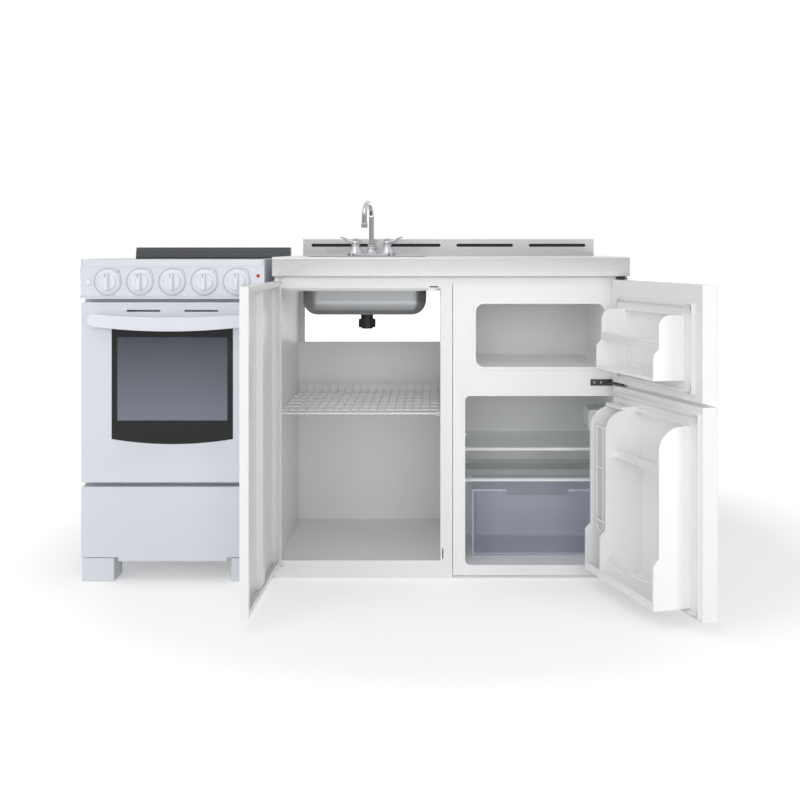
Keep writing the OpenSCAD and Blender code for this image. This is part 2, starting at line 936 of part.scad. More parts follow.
module cupboard_door() {
    color("white")
        cupboard_open()
            difference() {
                union() {
                    difference() {
                        block([door_l, door_out, door_z], [door_r, door_in, door_top]);
                        block(
                            [door_l + sheet, door_out + sheet, door_z + sheet],
                            [door_r - sheet, door_in - sheet, door_top - sheet]
                        );
                        block(
                            [door_l + door_flange, door_out + sheet, door_z + door_flange],
                            [door_r - door_flange, door_in + cut, door_top - door_flange]
                        );
                    }
                    for (z = [door_z - pin_l, door_top - pin_l])
                        post([door_pin.x, door_pin.y, z], pin_r, 2 * pin_l);
                }
                along_y(door_out - cut, door_out + sheet + cut)
                    pull_outline(0);
            }
}

module pull_outline(grow) {
    half = [pull_w / 2 + grow, pull_h / 2 + grow];
    middle = [pull_x, pull_z];
    round_rect(middle - half, middle + half, pull_w / 2 - 2 + grow);
}

// Cup pressed into the door's outer sheet
module door_pull() {
    color("white")
        cupboard_open()
            difference() {
                union() {
                    along_y(door_out, door_out + pull_d)
                        pull_outline(-clear);
                    along_y(door_out + sheet, door_out + 2 * sheet)
                        pull_outline(6);
                }
                along_y(door_out - cut, door_out + pull_d - sheet)
                    pull_outline(-clear - sheet);
            }
}

// Hat section down the middle of the door
module door_stiffener() {
    x = (door_l + door_r) / 2;
    half = stiff_w / 2;
    y0 = door_out + sheet;
    y1 = door_in - 4;
    color("white")
        cupboard_open()
            along_z(door_z + sheet, door_top - sheet) {
                for (side = [-1, 1]) {
                    rect([x + side * half - 7, y0], [x + side * half + 7, y0 + sheet]);
                    rect([x + side * (half - 7) - sheet / 2, y0], [x + side * (half - 7) + sheet / 2, y1]);
                }
                rect([x - half + 7 - sheet / 2, y1 - sheet], [x + half - 7 + sheet / 2, y1]);
            }
}

// ---------- Fridge-freezer case ----------

module freezer_space(grow, deeper) {
    along_y(face_y - cut, face_y + freezer_d + deeper)
        round_rect(
            [freezer_x - grow, freezer_z - grow],
            [freezer_r_x + grow, freezer_top + grow],
            freezer_r + grow
        );
}

// The space steps back over the compressor
module fridge_space(grow, deeper) {
    along_y(face_y - cut, face_y + fridge_low_d + deeper)
        round_rect([fridge_x - grow, fridge_z - grow], [fridge_r_x + grow, fridge_top + grow], fridge_r + grow);
    along_y(face_y + fridge_low_d - 30, face_y + fridge_d + deeper)
        round_rect([fridge_x - grow, step_z - grow], [fridge_r_x + grow, fridge_top + grow], fridge_r + grow);
}

module fridge_case() {
    seat = liner_t + liner_gap;
    bay_y = face_y + fridge_low_d + 60;
    color("white")
        difference() {
            block([case_l, face_y, case_foot], [unit_r, case_back, case_top]);
            freezer_space(seat, seat);
            fridge_space(seat, seat);
            block([case_l + 20, bay_y, case_foot + 10], [unit_r - 20, case_back + cut, step_z - 34]);
        }
    color("dimgray")
        for (x = [case_l + 30, unit_r - 30], y = [face_y + 35, case_back - 35])
            post([x, y, 0], 14, case_foot);
}

module freezer_liner() {
    color("white")
        difference() {
            intersection() {
                freezer_space(liner_t, liner_t);
                block([freezer_x - 9, face_y, freezer_z - 9], [freezer_r_x + 9, face_y + freezer_d + 9, freezer_top + 9]);
            }
            freezer_space(0, 0);
        }
}

module fridge_liner() {
    reach = fridge_d - inner_in - 40;
    color("white")
        difference() {
            intersection() {
                fridge_space(liner_t, liner_t);
                block([fridge_x - 9, face_y, fridge_z - 9], [fridge_r_x + 9, face_y + fridge_d + 9, fridge_top + 9]);
            }
            difference() {
                fridge_space(0, 0);
                // Ribs that carry the shelves
                for (z = [glass_low, glass_top, glass_top + rib_pitch])
                    for (x = [fridge_x - cut, fridge_r_x - rib_w])
                        block(
                            [x, inner_y + 8, z - glass_t - rib_h],
                            [x + rib_w + cut, inner_y + reach, z - glass_t]
                        );
            }
        }
}

module glass_plate(z, grow) {
    gap = 1.5;
    block(
        [fridge_x + gap, inner_y + 6 - grow, z - glass_t - grow],
        [fridge_r_x - gap, face_y + fridge_d - 12, z + grow]
    );
}

module glass_shelves() {
    color("lightblue", 0.4)
        for (z = [glass_low, glass_top])
            glass_plate(z, 0);
}

module shelf_trims() {
    gap = 1.5;
    color("white")
        for (z = [glass_low, glass_top])
            difference() {
                along_x(fridge_x + gap, fridge_r_x - gap) {
                    rect([inner_y + 4, z - glass_t - 2], [inner_y + 16, z + 2]);
                    rect([inner_y, z - glass_t - 2], [inner_y + 4, z]);
                    disc([inner_y + 4, z - 2], 4);
                }
                glass_plate(z, 0.1);
                // Clear of the ribs below
                for (x = [fridge_x, fridge_r_x - rib_w - clear])
                    block([x, inner_y + 8 - clear, z - 20], [x + rib_w + clear, inner_y + 20, z - glass_t]);
            }
}

thermo_x = fridge_r_x - 56;
thermo_z = fridge_top - 123;
dial_x = thermo_x + 30;
dial_z = thermo_z + 32;
thermo_y = inner_y + 45;

module thermostat() {
    color("white")
        difference() {
            along_y(thermo_y, thermo_y + 120)
                round_rect([thermo_x, thermo_z], [fridge_r_x - clear, thermo_z + 62], 8);
            peg([dial_x, thermo_y + 12, dial_z], 4 + pin_gap, 12 + cut);
        }
}

module thermostat_dial() {
    color("gainsboro")
        difference() {
            union() {
                peg([dial_x, thermo_y - clear, dial_z], 16, 9);
                peg([dial_x, thermo_y + 10, dial_z], 4, 12);
            }
            block([dial_x - 1.5, thermo_y - 12, dial_z + 4], [dial_x + 1.5, thermo_y - 7, dial_z + 18]);
        }
}

// Brackets with their pins: top, middle and bottom
module fridge_hinges() {
    pin = fdoor_pin;
    arm_y = pin.y - 10;
    arm_l = pin.x - 14;
    plate_l = pin.x - hinge_plate;
    split = doors_split + doors_gap / 2;
    half = bracket_t / 2;
    color("dimgray")
        union() {
            block([arm_l, arm_y, top_door_top + 2], [pin.x + 12, face_y, top_door_top + 2 + bracket_t]);
            block([arm_l, face_y - bracket_t, top_door_top + 2], [pin.x + 12, face_y, top_door_top + 8]);
            post([pin.x, pin.y, top_door_top + 3 - pin_l], pin_r, pin_l);
            block([plate_l, face_y - bracket_t, split - 9], [pin.x - 24, face_y, split + 9]);
            block([plate_l + 42, arm_y, split - half], [pin.x + 12, face_y, split + half]);
            post([pin.x, pin.y, split - half - pin_l], pin_r, 2 * pin_l + bracket_t);
            block([arm_l, arm_y, low_door_z - 2 - bracket_t], [pin.x + 12, face_y, low_door_z - 2]);
            block([arm_l, face_y - bracket_t, low_door_z - 18], [pin.x + 12, face_y, low_door_z - 2]);
            post([pin.x, pin.y, low_door_z - 3], pin_r, pin_l);
        }
}

module compressor() {
    r = 62;
    h = 130;
    steps = 5;
    base = case_foot + 10;
    color("black")
        translate([unit_r - 120, case_back - 95, base]) {
            block([-80, -60, 0], [80, 60, 4]);
            translate([0, 0, 3])
                rotate_extrude()
                    polygon(concat(
                        [[0, 0], [r - 10, 0], [r, 18]],
                        [for (i = [0 : steps]) [r * cos(90 * i / steps), h * 0.6 + h * 0.4 * sin(90 * i / steps)]]
                    ));
        }
}

// Tube that runs back and forth over the case's back, held by upright straps
module condenser() {
    tube = 2.5;
    rows = 10;
    pitch = 50;
    bend = pitch / 2;
    l = case_l + 70;
    r = unit_r - 70;
    y = case_back + 6.5;
    z0 = step_z + 20;
    color("dimgray")
        union() {
            for (i = [0 : rows - 1])
                translate([l, y, z0 + i * pitch])
                    rotate([0, 90, 0])
                        cylinder(r = tube, h = r - l);
            for (i = [0 : rows - 2])
                translate([i % 2 == 0 ? r : l, y, z0 + i * pitch + bend])
                    rotate([90, i % 2 == 0 ? 90 : -90, 0])
                        rotate_extrude(angle = 180)
                            translate([bend, 0])
                                circle(tube);
            for (x = [l + 20, (l + r) / 2, r - 20])
                block([x - 8, case_back, z0 - 20], [x + 8, y - 1.5, z0 + (rows - 1) * pitch + 20]);
        }
}

// ---------- Crisper ----------

module crisper_drawer() {
    l = fridge_x + (fridge_w - crisper_w) / 2;
    r = l + crisper_w;
    z0 = fridge_z + 3;
    z1 = z0 + crisper_h;
    y0 = inner_y + 2;
    y1 = y0 + crisper_d;
    mid = (l + r) / 2;
    color("lightblue", 0.5)
        difference() {
            union() {
                along_z(z0, z1)
                    round_rect([l, y0], [r, y1], 16);
                block([l - 6, y0 - 2, z0], [r + 6, y0 + 3, z1 + 2]);
                for (x = [l + 40, r - 48])
                    block([x, y0 + 20, fridge_z + clear], [x + 8, y1 - 20, z0 + 1]);
            }
            along_z(z0 + crisper_t, z1 + 5)
                round_rect([l + crisper_t, y0 + crisper_t], [r - crisper_t, y1 - crisper_t], 13);
            along_y(y0 - 5, y0 + 8)
                round_rect([mid - notch_w / 2, z1 - notch_h], [mid + notch_w / 2, z1 + 20], 8);
        }
}

// ---------- Fridge-freezer doors ----------

// Plan of a door: crowned outer face, round outer edges, socket for the pin
module door_plan() {
    l = case_l;
    r = unit_r;
    mid = (l + r) / 2;
    intersection() {
        union() {
            round_rect([l, fdoor_out], [r, fdoor_in], fdoor_r);
            rect([l, fdoor_in - fdoor_t / 2], [r, fdoor_in]);
        }
        translate([mid, fdoor_out + crown_r])
            circle(crown_r, $fn = 1440);
    }
}

module door_shell(z0, z1, recess_lo, recess_hi) {
    socket = pin_l + 2;
    difference() {
        along_z(z0, z1)
            door_plan();
        along_y(fdoor_in - recess_d, fdoor_in + cut)
            round_rect(recess_lo, recess_hi, 12);
        for (z = [z0 - cut, z1 - socket])
            post([fdoor_pin.x, fdoor_pin.y, z], pin_r + pin_gap, socket + cut);
    }
}

// Moulded tray in a door's recess, with a rim on the inner face
module door_tray(recess_lo, recess_hi, rim) {
    lo = recess_lo + [clear, clear];
    hi = recess_hi - [clear, clear];
    t = [liner_t, liner_t];
    difference() {
        union() {
            along_y(fdoor_in - recess_d + clear, fdoor_in)
                round_rect(lo, hi, 12 - clear);
            along_y(fdoor_in, fdoor_in + 2)
                round_rect(lo - [rim, rim], hi + [rim, rim], 12);
        }
        along_y(fdoor_in - recess_d + clear + liner_t, fdoor_in + 3)
            round_rect(lo + t, hi - t, 12 - clear - liner_t);
    }
}

// Upright rack wall seen from the side: its top corner is round, and below the step it is deeper
module rack_wall(x, z0, z1, depth, r, step_z) {
    deep = face_y + depth;
    upper = deep - rack_step;
    along_x(x, x + rack_t)
        intersection() {
            rect([fdoor_in + 1, z0], [deep, z1]);
            union() {
                rect([fdoor_in, z0], [upper - r, z1]);
                rect([fdoor_in, z0], [upper, z1 - r]);
                disc([upper - r, z1 - r], r);
                polygon([
                    [upper - 1, z0],
                    [deep, z0],
                    [deep, step_z - rack_step],
                    [upper, step_z],
                    [upper - 1, step_z],
                ]);
            }
        }
}

// Rack places of the freezer door
fz_l = freezer_x + 26;
fz_r = freezer_r_x - 6;
fz_lo = freezer_z + 8;
fz_hi = freezer_top - 8;
fz_tray_lo = [fz_l + rack_t, fz_lo + rack_t];
fz_tray_hi = [fz_r - rack_t, fz_hi];

module freezer_door_shell() {
    color("white")
        fridge_open()
            door_shell(top_door_z, top_door_top, fz_tray_lo, fz_tray_hi);
}

module freezer_door_liner() {
    color("white")
        fridge_open()
            union() {
                door_tray(fz_tray_lo, fz_tray_hi, 14);
                for (x = [fz_l, fz_r - rack_t])
                    rack_wall(x, fz_lo, fz_hi, freezer_rack_d, 30, fz_lo + 78);
                block([fz_l, fdoor_in + 1, fz_lo], [fz_r, face_y + freezer_rack_d, fz_lo + rack_t]);
            }
}

module freezer_door_bar() {
    color("silver")
        fridge_open()
            along_x(fz_l + rack_t, fz_r - rack_t)
                round_rect(
                    [face_y + freezer_rack_d - 22, fz_lo + 75],
                    [face_y + freezer_rack_d - rack_step, fz_lo + 97],
                    2.5
                );
}

// Seals: outer edge 16 past the opening's edges
seal_w = 15;
seal_r_x = fdoor_pin.x + 2.5;

module seal(lo, hi) {
    color("white")
        fridge_open()
            along_y(fdoor_in, face_y - 0.5)
                round_frame(lo, hi, 10, seal_w);
}

module freezer_gasket() {
    seal([freezer_x - 28, freezer_z - 24], [freezer_r_x + 24, freezer_top + 26]);
}

// Rack places of the lower door
fd_l = fridge_x + 22;
fd_r = fridge_r_x - 5;
fd_lo = fridge_z + 14;
fd_hi = fridge_top - 10;
fd_mid = fd_r - rack_t - can_w - rack_t;
fd_tray_lo = [fd_l + rack_t, fd_lo + rack_t];
fd_tray_hi = [fd_r - rack_t, fd_hi - rack_t];
small_z = fd_hi - 130;
fd_step = fd_lo + 124;

module fridge_door_shell() {
    color("white")
        fridge_open()
            door_shell(low_door_z, doors_split, fd_tray_lo, fd_tray_hi);
}

module fridge_door_liner() {
    deep = face_y + rack_d;
    color("white")
        fridge_open()
            union() {
                door_tray(fd_tray_lo, fd_tray_hi, 10);
                for (x = [fd_l, fd_mid, fd_r - rack_t])
                    rack_wall(x, fd_lo, fd_hi - 8, rack_d, 60, fd_step);
                block(
                    [fd_mid, fdoor_in - recess_d + clear + 1, fd_tray_lo.y + 2],
                    [fd_mid + rack_t, fdoor_in + 2, fd_tray_hi.y - 2]
                );
                block([fd_l, fdoor_in + 1, fd_lo], [fd_r, deep, fd_lo + rack_t]);
                // Low front wall of both bays
                block([fd_l, deep - rack_t / 2, fd_lo], [fd_r - 1, deep, fd_lo + bay_h]);
                // Small upper shelf of the bottle bay, with its upstand
                block([fd_l, fdoor_in + 1, small_z], [fd_mid + 1, deep - 40, small_z + 4]);
                block([fd_l, deep - 44, small_z], [fd_mid + 1, deep - 40, small_z + 20]);
                // Cover over the can column
                block([fd_mid, fdoor_in + 1, fd_hi - 8], [fd_r, face_y + 30, fd_hi]);
            }
}

module fridge_gasket() {
    seal([fridge_x - 28, fridge_z - 4], [seal_r_x, fridge_top + 20]);
}

// Wire frame in front of the cans, hung from a cross wire, and a bowed wire below it
module can_retainers() {
    l = fd_mid + rack_t;
    r = fd_r - rack_t;
    y = face_y + rack_d - rack_step - 8;
    frame_l = l + can_w * 0.3;
    frame_r = l + can_w * 0.76;
    top = fd_hi - 57;
    bend = (frame_r - frame_l) / 2;
    low = fd_lo + 112 + bend;
    color("white")
        fridge_open() {
            along_x(l, r)
                for (z = [low + 150, top])
                    disc([y, z], retain_r);
            for (x = [frame_l, frame_r])
                post([x, y, low], retain_r, top - low);
            translate([frame_l + bend, y, low])
                rotate([-90, 0, 0])
                    rotate_extrude(angle = 180)
                        translate([bend, 0])
                            circle(retain_r);
            bowed_wire(l, r, y, 7, fd_lo + 143);
        }
}

// Wire from one wall to the next that bows out by the given amount
module bowed_wire(l, r, y, bow, z) {
    radius = arc_radius((r - l) / 2, bow);
    intersection() {
        translate([(l + r) / 2, y + bow - radius, z])
            rotate_extrude($fn = 180)
                translate([radius, 0])
                    circle(retain_r);
        block([l, y - 10, z - 5], [r, y + bow + 5, z + 5]);
    }
}

// Wire that bows out across the bottle bay
module bottle_bar() {
    color("white")
        fridge_open()
            bowed_wire(fd_l + rack_t, fd_mid, face_y + rack_d - bar_bow - 4, bar_bow, fd_lo + bar_h);
}

// ---------- Range ----------

// Folded casing, open at the top under the cooktop, with the drawer's runners
module range_body() {
    runner_z = foot_h + runner_h;
    bay = 9;
    color("white")
        difference() {
            union() {
                difference() {
                    block([range_l, body_y, foot_h], [range_r, rear_y, cap_z]);
                    block(
                        [range_l + skin, body_y + skin, foot_h + skin],
                        [range_r - skin, rear_y - skin, cap_z + cut]
                    );
                }
                for (side = [-1, 1])
                    translate([range_c, 0, 0])
                        scale([side, 1, 1])
                            block(
                                [box_w / 2 - 16, body_y + skin, foot_h + skin],
                                [range_w / 2 - skin, body_y + box_d, runner_z]
                            );
            }
            oven_space(2.2, 2.2);
            along_y(body_y - cut, body_y + skin + cut)
                rect([range_c - box_w / 2 - bay, runner_z], [range_c + box_w / 2 + bay, drawer_top - 10]);
        }
}

module oven_space(grow, deeper) {
    half = oven_w / 2 + grow;
    along_y(range_face + oven_door_t - cut, body_y + oven_d + deeper)
        round_rect([range_c - half, oven_z - grow], [range_c + half, oven_z + oven_h + grow], 6 + grow);
}

module oven_cavity() {
    half = oven_w / 2;
    seal_half = half + 16;
    color("dimgray")
        difference() {
            union() {
                intersection() {
                    oven_space(2, 2);
                    block([range_l, body_y, oven_z - 9], [range_r, rear_y, oven_z + oven_h + 9]);
                }
                // Woven seal that the door shuts against
                along_y(range_face + oven_door_t + clear, body_y)
                    round_rect(
                        [range_c - seal_half, oven_z - 14],
                        [range_c + seal_half, oven_z + oven_h + 14],
                        30
                    );
            }
            difference() {
                oven_space(0, 0);
                // Pairs of ribs for the racks
                for (z = rack_levels, side = [-1, 1])
                    block(
                        [range_c + side * (half - 2.5) - 3.5, body_y + 25, z - 13],
                        [range_c + side * (half - 2.5) + 3.5, body_y + oven_d - 15, z - 8]
                    );
            }
        }
}

rack_levels = [for (i = [0 : 2]) rack_z + i * rack_pitch];

// Racks of long wires on three cross wires
module oven_racks() {
    half = oven_w / 2 - 2;
    y0 = body_y + 30;
    y1 = body_y + oven_d - 20;
    long_n = 14;
    gap = (2 * half - 12) / long_n;
    color("silver")
        for (z = rack_levels)
            union() {
                along_x(range_c - half, range_c + half)
                    for (y = [y0 + 4, (y0 + y1) / 2, y1 - 4])
                        translate([y, z - 4.9])
                            rotate(22.5)
                                circle(2.8, $fn = 8);
                along_y(y0, y1)
                    for (i = [0 : long_n])
                        translate([range_c - half + 6 + i * gap, z - 1.8])
                            circle(1.8, $fn = 6);
            }
}

module range_feet() {
    color("white")
        for (x = [range_l + foot_in, range_r - foot_in - foot_w])
            for (y = [range_face + foot_in, rear_y - foot_w])
                difference() {
                    block([x, y, 0], [x + foot_w, y + foot_w, foot_h]);
                    block([x + 4, y + 4, -cut], [x + foot_w - 4, y + foot_w - 4, foot_h - 4]);
                }
}

module cooktop() {
    color("white")
        difference() {
            along_z(cap_z, range_top)
                round_rect([range_l, range_face - 2], [range_r, rear_y], 12);
            along_z(range_top - hob_t, range_top + cut)
                hob_outline(clear);
            along_z(cap_z - cut, range_top - hob_t - skin)
                round_rect([range_l + 4, range_face + 4], [range_r - 4, rear_y - 4], 10);
        }
}

module hob_outline(grow) {
    round_rect(
        [range_l + 14 - grow, range_face + 22 - grow],
        [range_r - 14 + grow, rear_y - 48 + grow],
        10 + grow
    );
}

module hob_glass() {
    color("black")
        along_z(range_top - hob_t, range_top + 0.5)
            hob_outline(0);
}

module backguard() {
    color("dimgray")
        along_x(range_l + 2, range_r - 2)
            polygon([
                [rear_y - 40, range_top],
                [rear_y - 34, range_top + guard_h - 6],
                [rear_y - 28, range_top + guard_h],
                [rear_y, range_top + guard_h],
                [rear_y, range_top],
            ]);
}

// Hole from the panel's face inwards
module panel_hole(x, z, r, depth) {
    peg([x, range_face + depth, z], r, depth + 20);
}

lamp_z = cap_z - 26;
button_z = cap_z - 43;

module control_panel() {
    flare = 6;
    color("white")
        difference() {
            along_x(range_l, range_r)
                polygon([
                    [body_y, panel_z],
                    [range_face - flare, panel_z],
                    [range_face - flare, panel_z + 4],
                    [range_face, panel_z + 9],
                    [range_face, cap_z],
                    [body_y, cap_z],
                ]);
            for (i = [1 : knob_n])
                panel_hole(knob_x(i), knob_z, knob_stem_r + pin_gap, 14);
            panel_hole(range_l + button_in, button_z, button_r + pin_gap, 14);
            panel_hole(range_r - lamp_in, lamp_z, lamp_r, 8);
            block(
                [range_l + skin, range_face + 14, panel_z + skin],
                [range_r - skin, body_y + cut, cap_z - skin]
            );
        }
}

module indicator_lamp() {
    color("red")
        peg([range_r - lamp_in, range_face + 8, lamp_z], lamp_r, 10);
}

module light_button() {
    color("white")
        peg([range_l + button_in, range_face + 8, button_z], button_r, 13);
}

knob_stem_r = 4;
function knob_x(i) = range_c + (i - (knob_n + 1) / 2) * knob_pitch;

// Knob: skirt, tapered cap and grip bar, with its stem
module knob(i) {
    color("white")
        translate([knob_x(i), range_face, knob_z])
            rotate([90, 0, 0]) {
                post([0, 0, -10], knob_stem_r, 12);
                post([0, 0, clear], knob_r, 4);
                translate([0, 0, 4])
                    cylinder(r1 = knob_r * 0.74, r2 = knob_r * 0.66, h = 10);
                translate([0, 0, 13])
                    intersection() {
                        cylinder(r = knob_r * 0.66, h = knob_out - 13);
                        block([-8, -knob_r, 0], [8, knob_r, knob_out]);
                    }
            }
}

// Window border: square at the top, bowed down along its lower edge
module window_outline(grow) {
    half = window_w / 2 + grow;
    radius = arc_radius(half, window_curve);
    rect([range_c - half, window_z + window_curve - grow], [range_c + half, window_top + grow]);
    intersection() {
        translate([range_c, window_z - grow + radius])
            circle(radius, $fn = 180);
        rect([range_c - half, window_z - grow], [range_c + half, window_z + window_curve]);
    }
}

module oven_door() {
    l = range_l + range_side;
    r = range_r - range_side;
    back = range_face + oven_door_t;
    lite = clear_w / 2;
    color("white")
        difference() {
            block([l, range_face, oven_door_z], [r, back, oven_door_top]);
            // Air space, open through the slots
            difference() {
                block(
                    [l + skin, range_face + 4 + skin, oven_door_z + skin],
                    [r - skin, back - skin, oven_door_top - skin]
                );
                block(
                    [range_c - lite - skin, range_face, clear_z - skin],
                    [range_c + lite + skin, back, clear_top + skin]
                );
            }
            along_y(range_face - cut, range_face + 4)
                window_outline(clear);
            along_y(range_face, back + cut)
                rect([range_c - lite, clear_z], [range_c + lite, clear_top]);
            // Slots that let air in over the glass
            for (side = [-1, 1])
                block(
                    [range_c + side * 80 - 46, range_face - cut, oven_door_top - 26],
                    [range_c + side * 80 + 46, back + cut, oven_door_top - 21]
                );
        }
}

// Outer pane in the door's face and inner pane in its opening
module oven_window() {
    lite = clear_w / 2 - clear;
    color("black", 0.7)
        along_y(range_face + 0.5, range_face + 4)
            window_outline(0);
    color("black", 0.4)
        along_y(range_face + oven_door_t - 6, range_face + oven_door_t - 2)
            rect([range_c - lite, clear_z + clear], [range_c + lite, clear_top - clear]);
}

// Front outline of the handle: both edges sag towards the middle, and the ends are round
module handle_outline(z) {
    reach = handle_w / 2 - handle_h / 2;
    half = handle_h / 2;
    steps = 12;
    polygon(concat(
        [for (i = [-steps : steps]) [range_c + reach * i / steps, z + half - handle_sag * sag(i / steps)]],
        [for (i = [steps : -1 : -steps]) [range_c + reach * i / steps, z - half - handle_belly * sag(i / steps)]]
    ));
    for (side = [-1, 1])
        disc([range_c + side * reach, z], half);
}

function sag(u) = 1 - u * u;

// Broad bar that bows out from two end posts
module oven_handle() {
    z = oven_door_top - handle_drop;
    half = handle_w / 2;
    bow = 16;
    thick = 13;
    radius = arc_radius(half, bow);
    tip = range_face - handle_out;
    color("white")
        union() {
            intersection() {
                along_z(z - handle_h, z + handle_h)
                    difference() {
                        disc([range_c, tip + radius], radius, $fn = 720);
                        disc([range_c, tip + thick + radius], radius, $fn = 720);
                    }
                along_y(tip - 5, range_face)
                    handle_outline(z);
            }
            for (side = [-1, 1])
                along_y(tip + bow + 6, range_face)
                    round_rect(
                        [range_c + side * (half - 17) - 14, z - 13],
                        [range_c + side * (half - 17) + 14, z + 13],
                        8
                    );
        }
}

module drawer_front() {
    l = range_l + range_side;
    r = range_r - range_side;
    step = foot_in + foot_w + 10;
    color("white")
        difference() {
            union() {
                block([l, range_face, drawer_z], [r, range_face + 36, drawer_top]);
                block([l + step, range_face, drawer_z - skirt_h], [r - step, range_face + 2 * skin, drawer_z + 1]);
            }
            block(
                [l + skin, range_face + 2 * skin, drawer_z + skin],
                [r - skin, range_face + 36 + cut, drawer_top - skin]
            );
        }
}

module drawer_box() {
    l = range_c - box_w / 2;
    r = range_c + box_w / 2;
    y0 = range_face + 2 * skin;
    z0 = foot_h + runner_h + clear;
    color("silver")
        difference() {
            block([l, y0, z0], [r, body_y + box_d - 10, z0 + box_h]);
            block([l + box_t, y0 + box_t, z0 + box_t], [r - box_t, body_y + box_d - 10 - box_t, z0 + box_h + cut]);
        }
}

module knob_1() {
    knob(1);
}

module knob_2() {
    knob(2);
}

module knob_3() {
    knob(3);
}

module knob_4() {
    knob(4);
}

module knob_5() {
    knob(5);
}

base_frame();
cupboard_floor();
side_panel();
partition();
top_rail();
back_panel();
worktop();
splashback();
vent_baffle();
sink_bowl();
sink_strainer();
drain_tail();
tap_body();
tap_spout();
lever_left();
lever_right();
wire_shelf();
cupboard_door();
door_stiffener();
door_pull();
fridge_case();
freezer_liner();
fridge_liner();
glass_shelves();
shelf_trims();
thermostat();
thermostat_dial();
fridge_hinges();
compressor();
condenser();
crisper_drawer();
freezer_door_shell();
freezer_door_liner();
freezer_gasket();
freezer_door_bar();
fridge_door_shell();
fridge_door_liner();
fridge_gasket();
can_retainers();
bottle_bar();
range_body();
cooktop();
hob_glass();
backguard();
control_panel();
indicator_lamp();
light_button();
knob_1();
knob_2();
knob_3();
knob_4();
knob_5();
oven_cavity();
oven_racks();
range_feet();
oven_door();
oven_window();
oven_handle();
drawer_front();
drawer_box();
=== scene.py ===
# %% [markdown]
# # A kitchenette in enamel and steel
# The real thing stands in two parts, side by side. On the right is a folded steel cabinet with a
# steel worktop, a sink, an open cupboard and a small fridge-freezer. On the left is an electric
# range with a glass hob. The solids come from the CAD source and hold every size. This lesson
# dresses them: first the camera and the light, then the finishes, then the pieces whose forms are
# too soft or too fine for the solids.

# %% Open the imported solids
import json
import math

import bmesh
import bpy
from mathutils import Matrix, Vector


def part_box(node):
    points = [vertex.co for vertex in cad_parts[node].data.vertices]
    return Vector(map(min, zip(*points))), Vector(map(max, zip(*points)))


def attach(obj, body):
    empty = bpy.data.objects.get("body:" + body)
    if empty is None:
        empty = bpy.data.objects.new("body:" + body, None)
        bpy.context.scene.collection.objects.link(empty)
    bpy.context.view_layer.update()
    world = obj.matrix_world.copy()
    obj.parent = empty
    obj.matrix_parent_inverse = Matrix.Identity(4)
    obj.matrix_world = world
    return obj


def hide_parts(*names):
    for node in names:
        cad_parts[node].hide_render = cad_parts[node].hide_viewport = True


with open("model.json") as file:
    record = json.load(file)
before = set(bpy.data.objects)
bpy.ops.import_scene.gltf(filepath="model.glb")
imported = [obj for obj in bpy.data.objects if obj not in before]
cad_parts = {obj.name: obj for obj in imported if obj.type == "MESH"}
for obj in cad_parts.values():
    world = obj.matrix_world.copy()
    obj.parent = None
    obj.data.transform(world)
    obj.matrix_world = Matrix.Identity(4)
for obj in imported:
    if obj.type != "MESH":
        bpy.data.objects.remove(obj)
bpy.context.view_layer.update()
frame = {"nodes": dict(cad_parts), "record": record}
nodes = frame["nodes"]

# %% [markdown]
# ## Camera
# A catalogue picture of furniture is taken level, from a little above the worktop, with a long
# lens. Upright edges then stay upright. The lens is shifted rather than tilted, as a view camera
# does it, so the horizon can lie high in the frame while the cabinet fills it.

# %% Camera
FRAME_PX = 800
VANISHING_PX = (434.7, 248.0)
camera_data = bpy.data.cameras.new("camera")
camera_data.lens = 52.0
camera_data.sensor_width = 36.0
camera_data.shift_x = (FRAME_PX / 2 - VANISHING_PX[0]) / FRAME_PX
camera_data.shift_y = (VANISHING_PX[1] - FRAME_PX / 2) / FRAME_PX
camera = bpy.data.objects.new("camera", camera_data)
camera.location = (-0.045, -3.511, 0.921)
camera.rotation_euler = (math.radians(90), 0, 0)
bpy.context.collection.objects.link(camera)
bpy.context.scene.camera = camera
print("camera shift", round(camera_data.shift_x, 4), round(camera_data.shift_y, 4))

# %% [markdown]
# ## Shader sums
# A node material is easier to read as arithmetic than as boxes and wires. The small class below
# holds one socket, and its operators add the Math node that does the sum. The finish class holds
# one material, and its single method adds any other node.

# %% Wires and finishes
class Wire:
    """One output socket that can be used in a sum."""

    def __init__(self, tree, socket):
        self.tree = tree
        self.socket = socket

    def maths(self, operation, *terms):
        made = self.tree.nodes.new("ShaderNodeMath")
        made.operation = operation
        for slot, term in zip(made.inputs, terms):
            feed(self.tree, slot, term)
        return Wire(self.tree, made.outputs[0])

    def __add__(self, other):
        return self.maths("ADD", self, other)

    def __radd__(self, other):
        return self.maths("ADD", other, self)

    def __sub__(self, other):
        return self.maths("SUBTRACT", self, other)

    def __rsub__(self, other):
        return self.maths("SUBTRACT", other, self)

    def __mul__(self, other):
        return self.maths("MULTIPLY", self, other)

    def __rmul__(self, other):
        return self.maths("MULTIPLY", other, self)

    def __truediv__(self, other):
        return self.maths("DIVIDE", self, other)

    def __abs__(self):
        return self.maths("ABSOLUTE", self)

    def below(self, other):
        return self.maths("LESS_THAN", self, other)

    def above(self, other):
        return self.maths("GREATER_THAN", self, other)

    def power(self, other):
        return self.maths("POWER", self, other)


def feed(tree, slot, value):
    """Puts a wire or a plain value on an input socket."""
    if isinstance(value, Wire):
        tree.links.new(value.socket, slot)
    else:
        slot.default_value = value


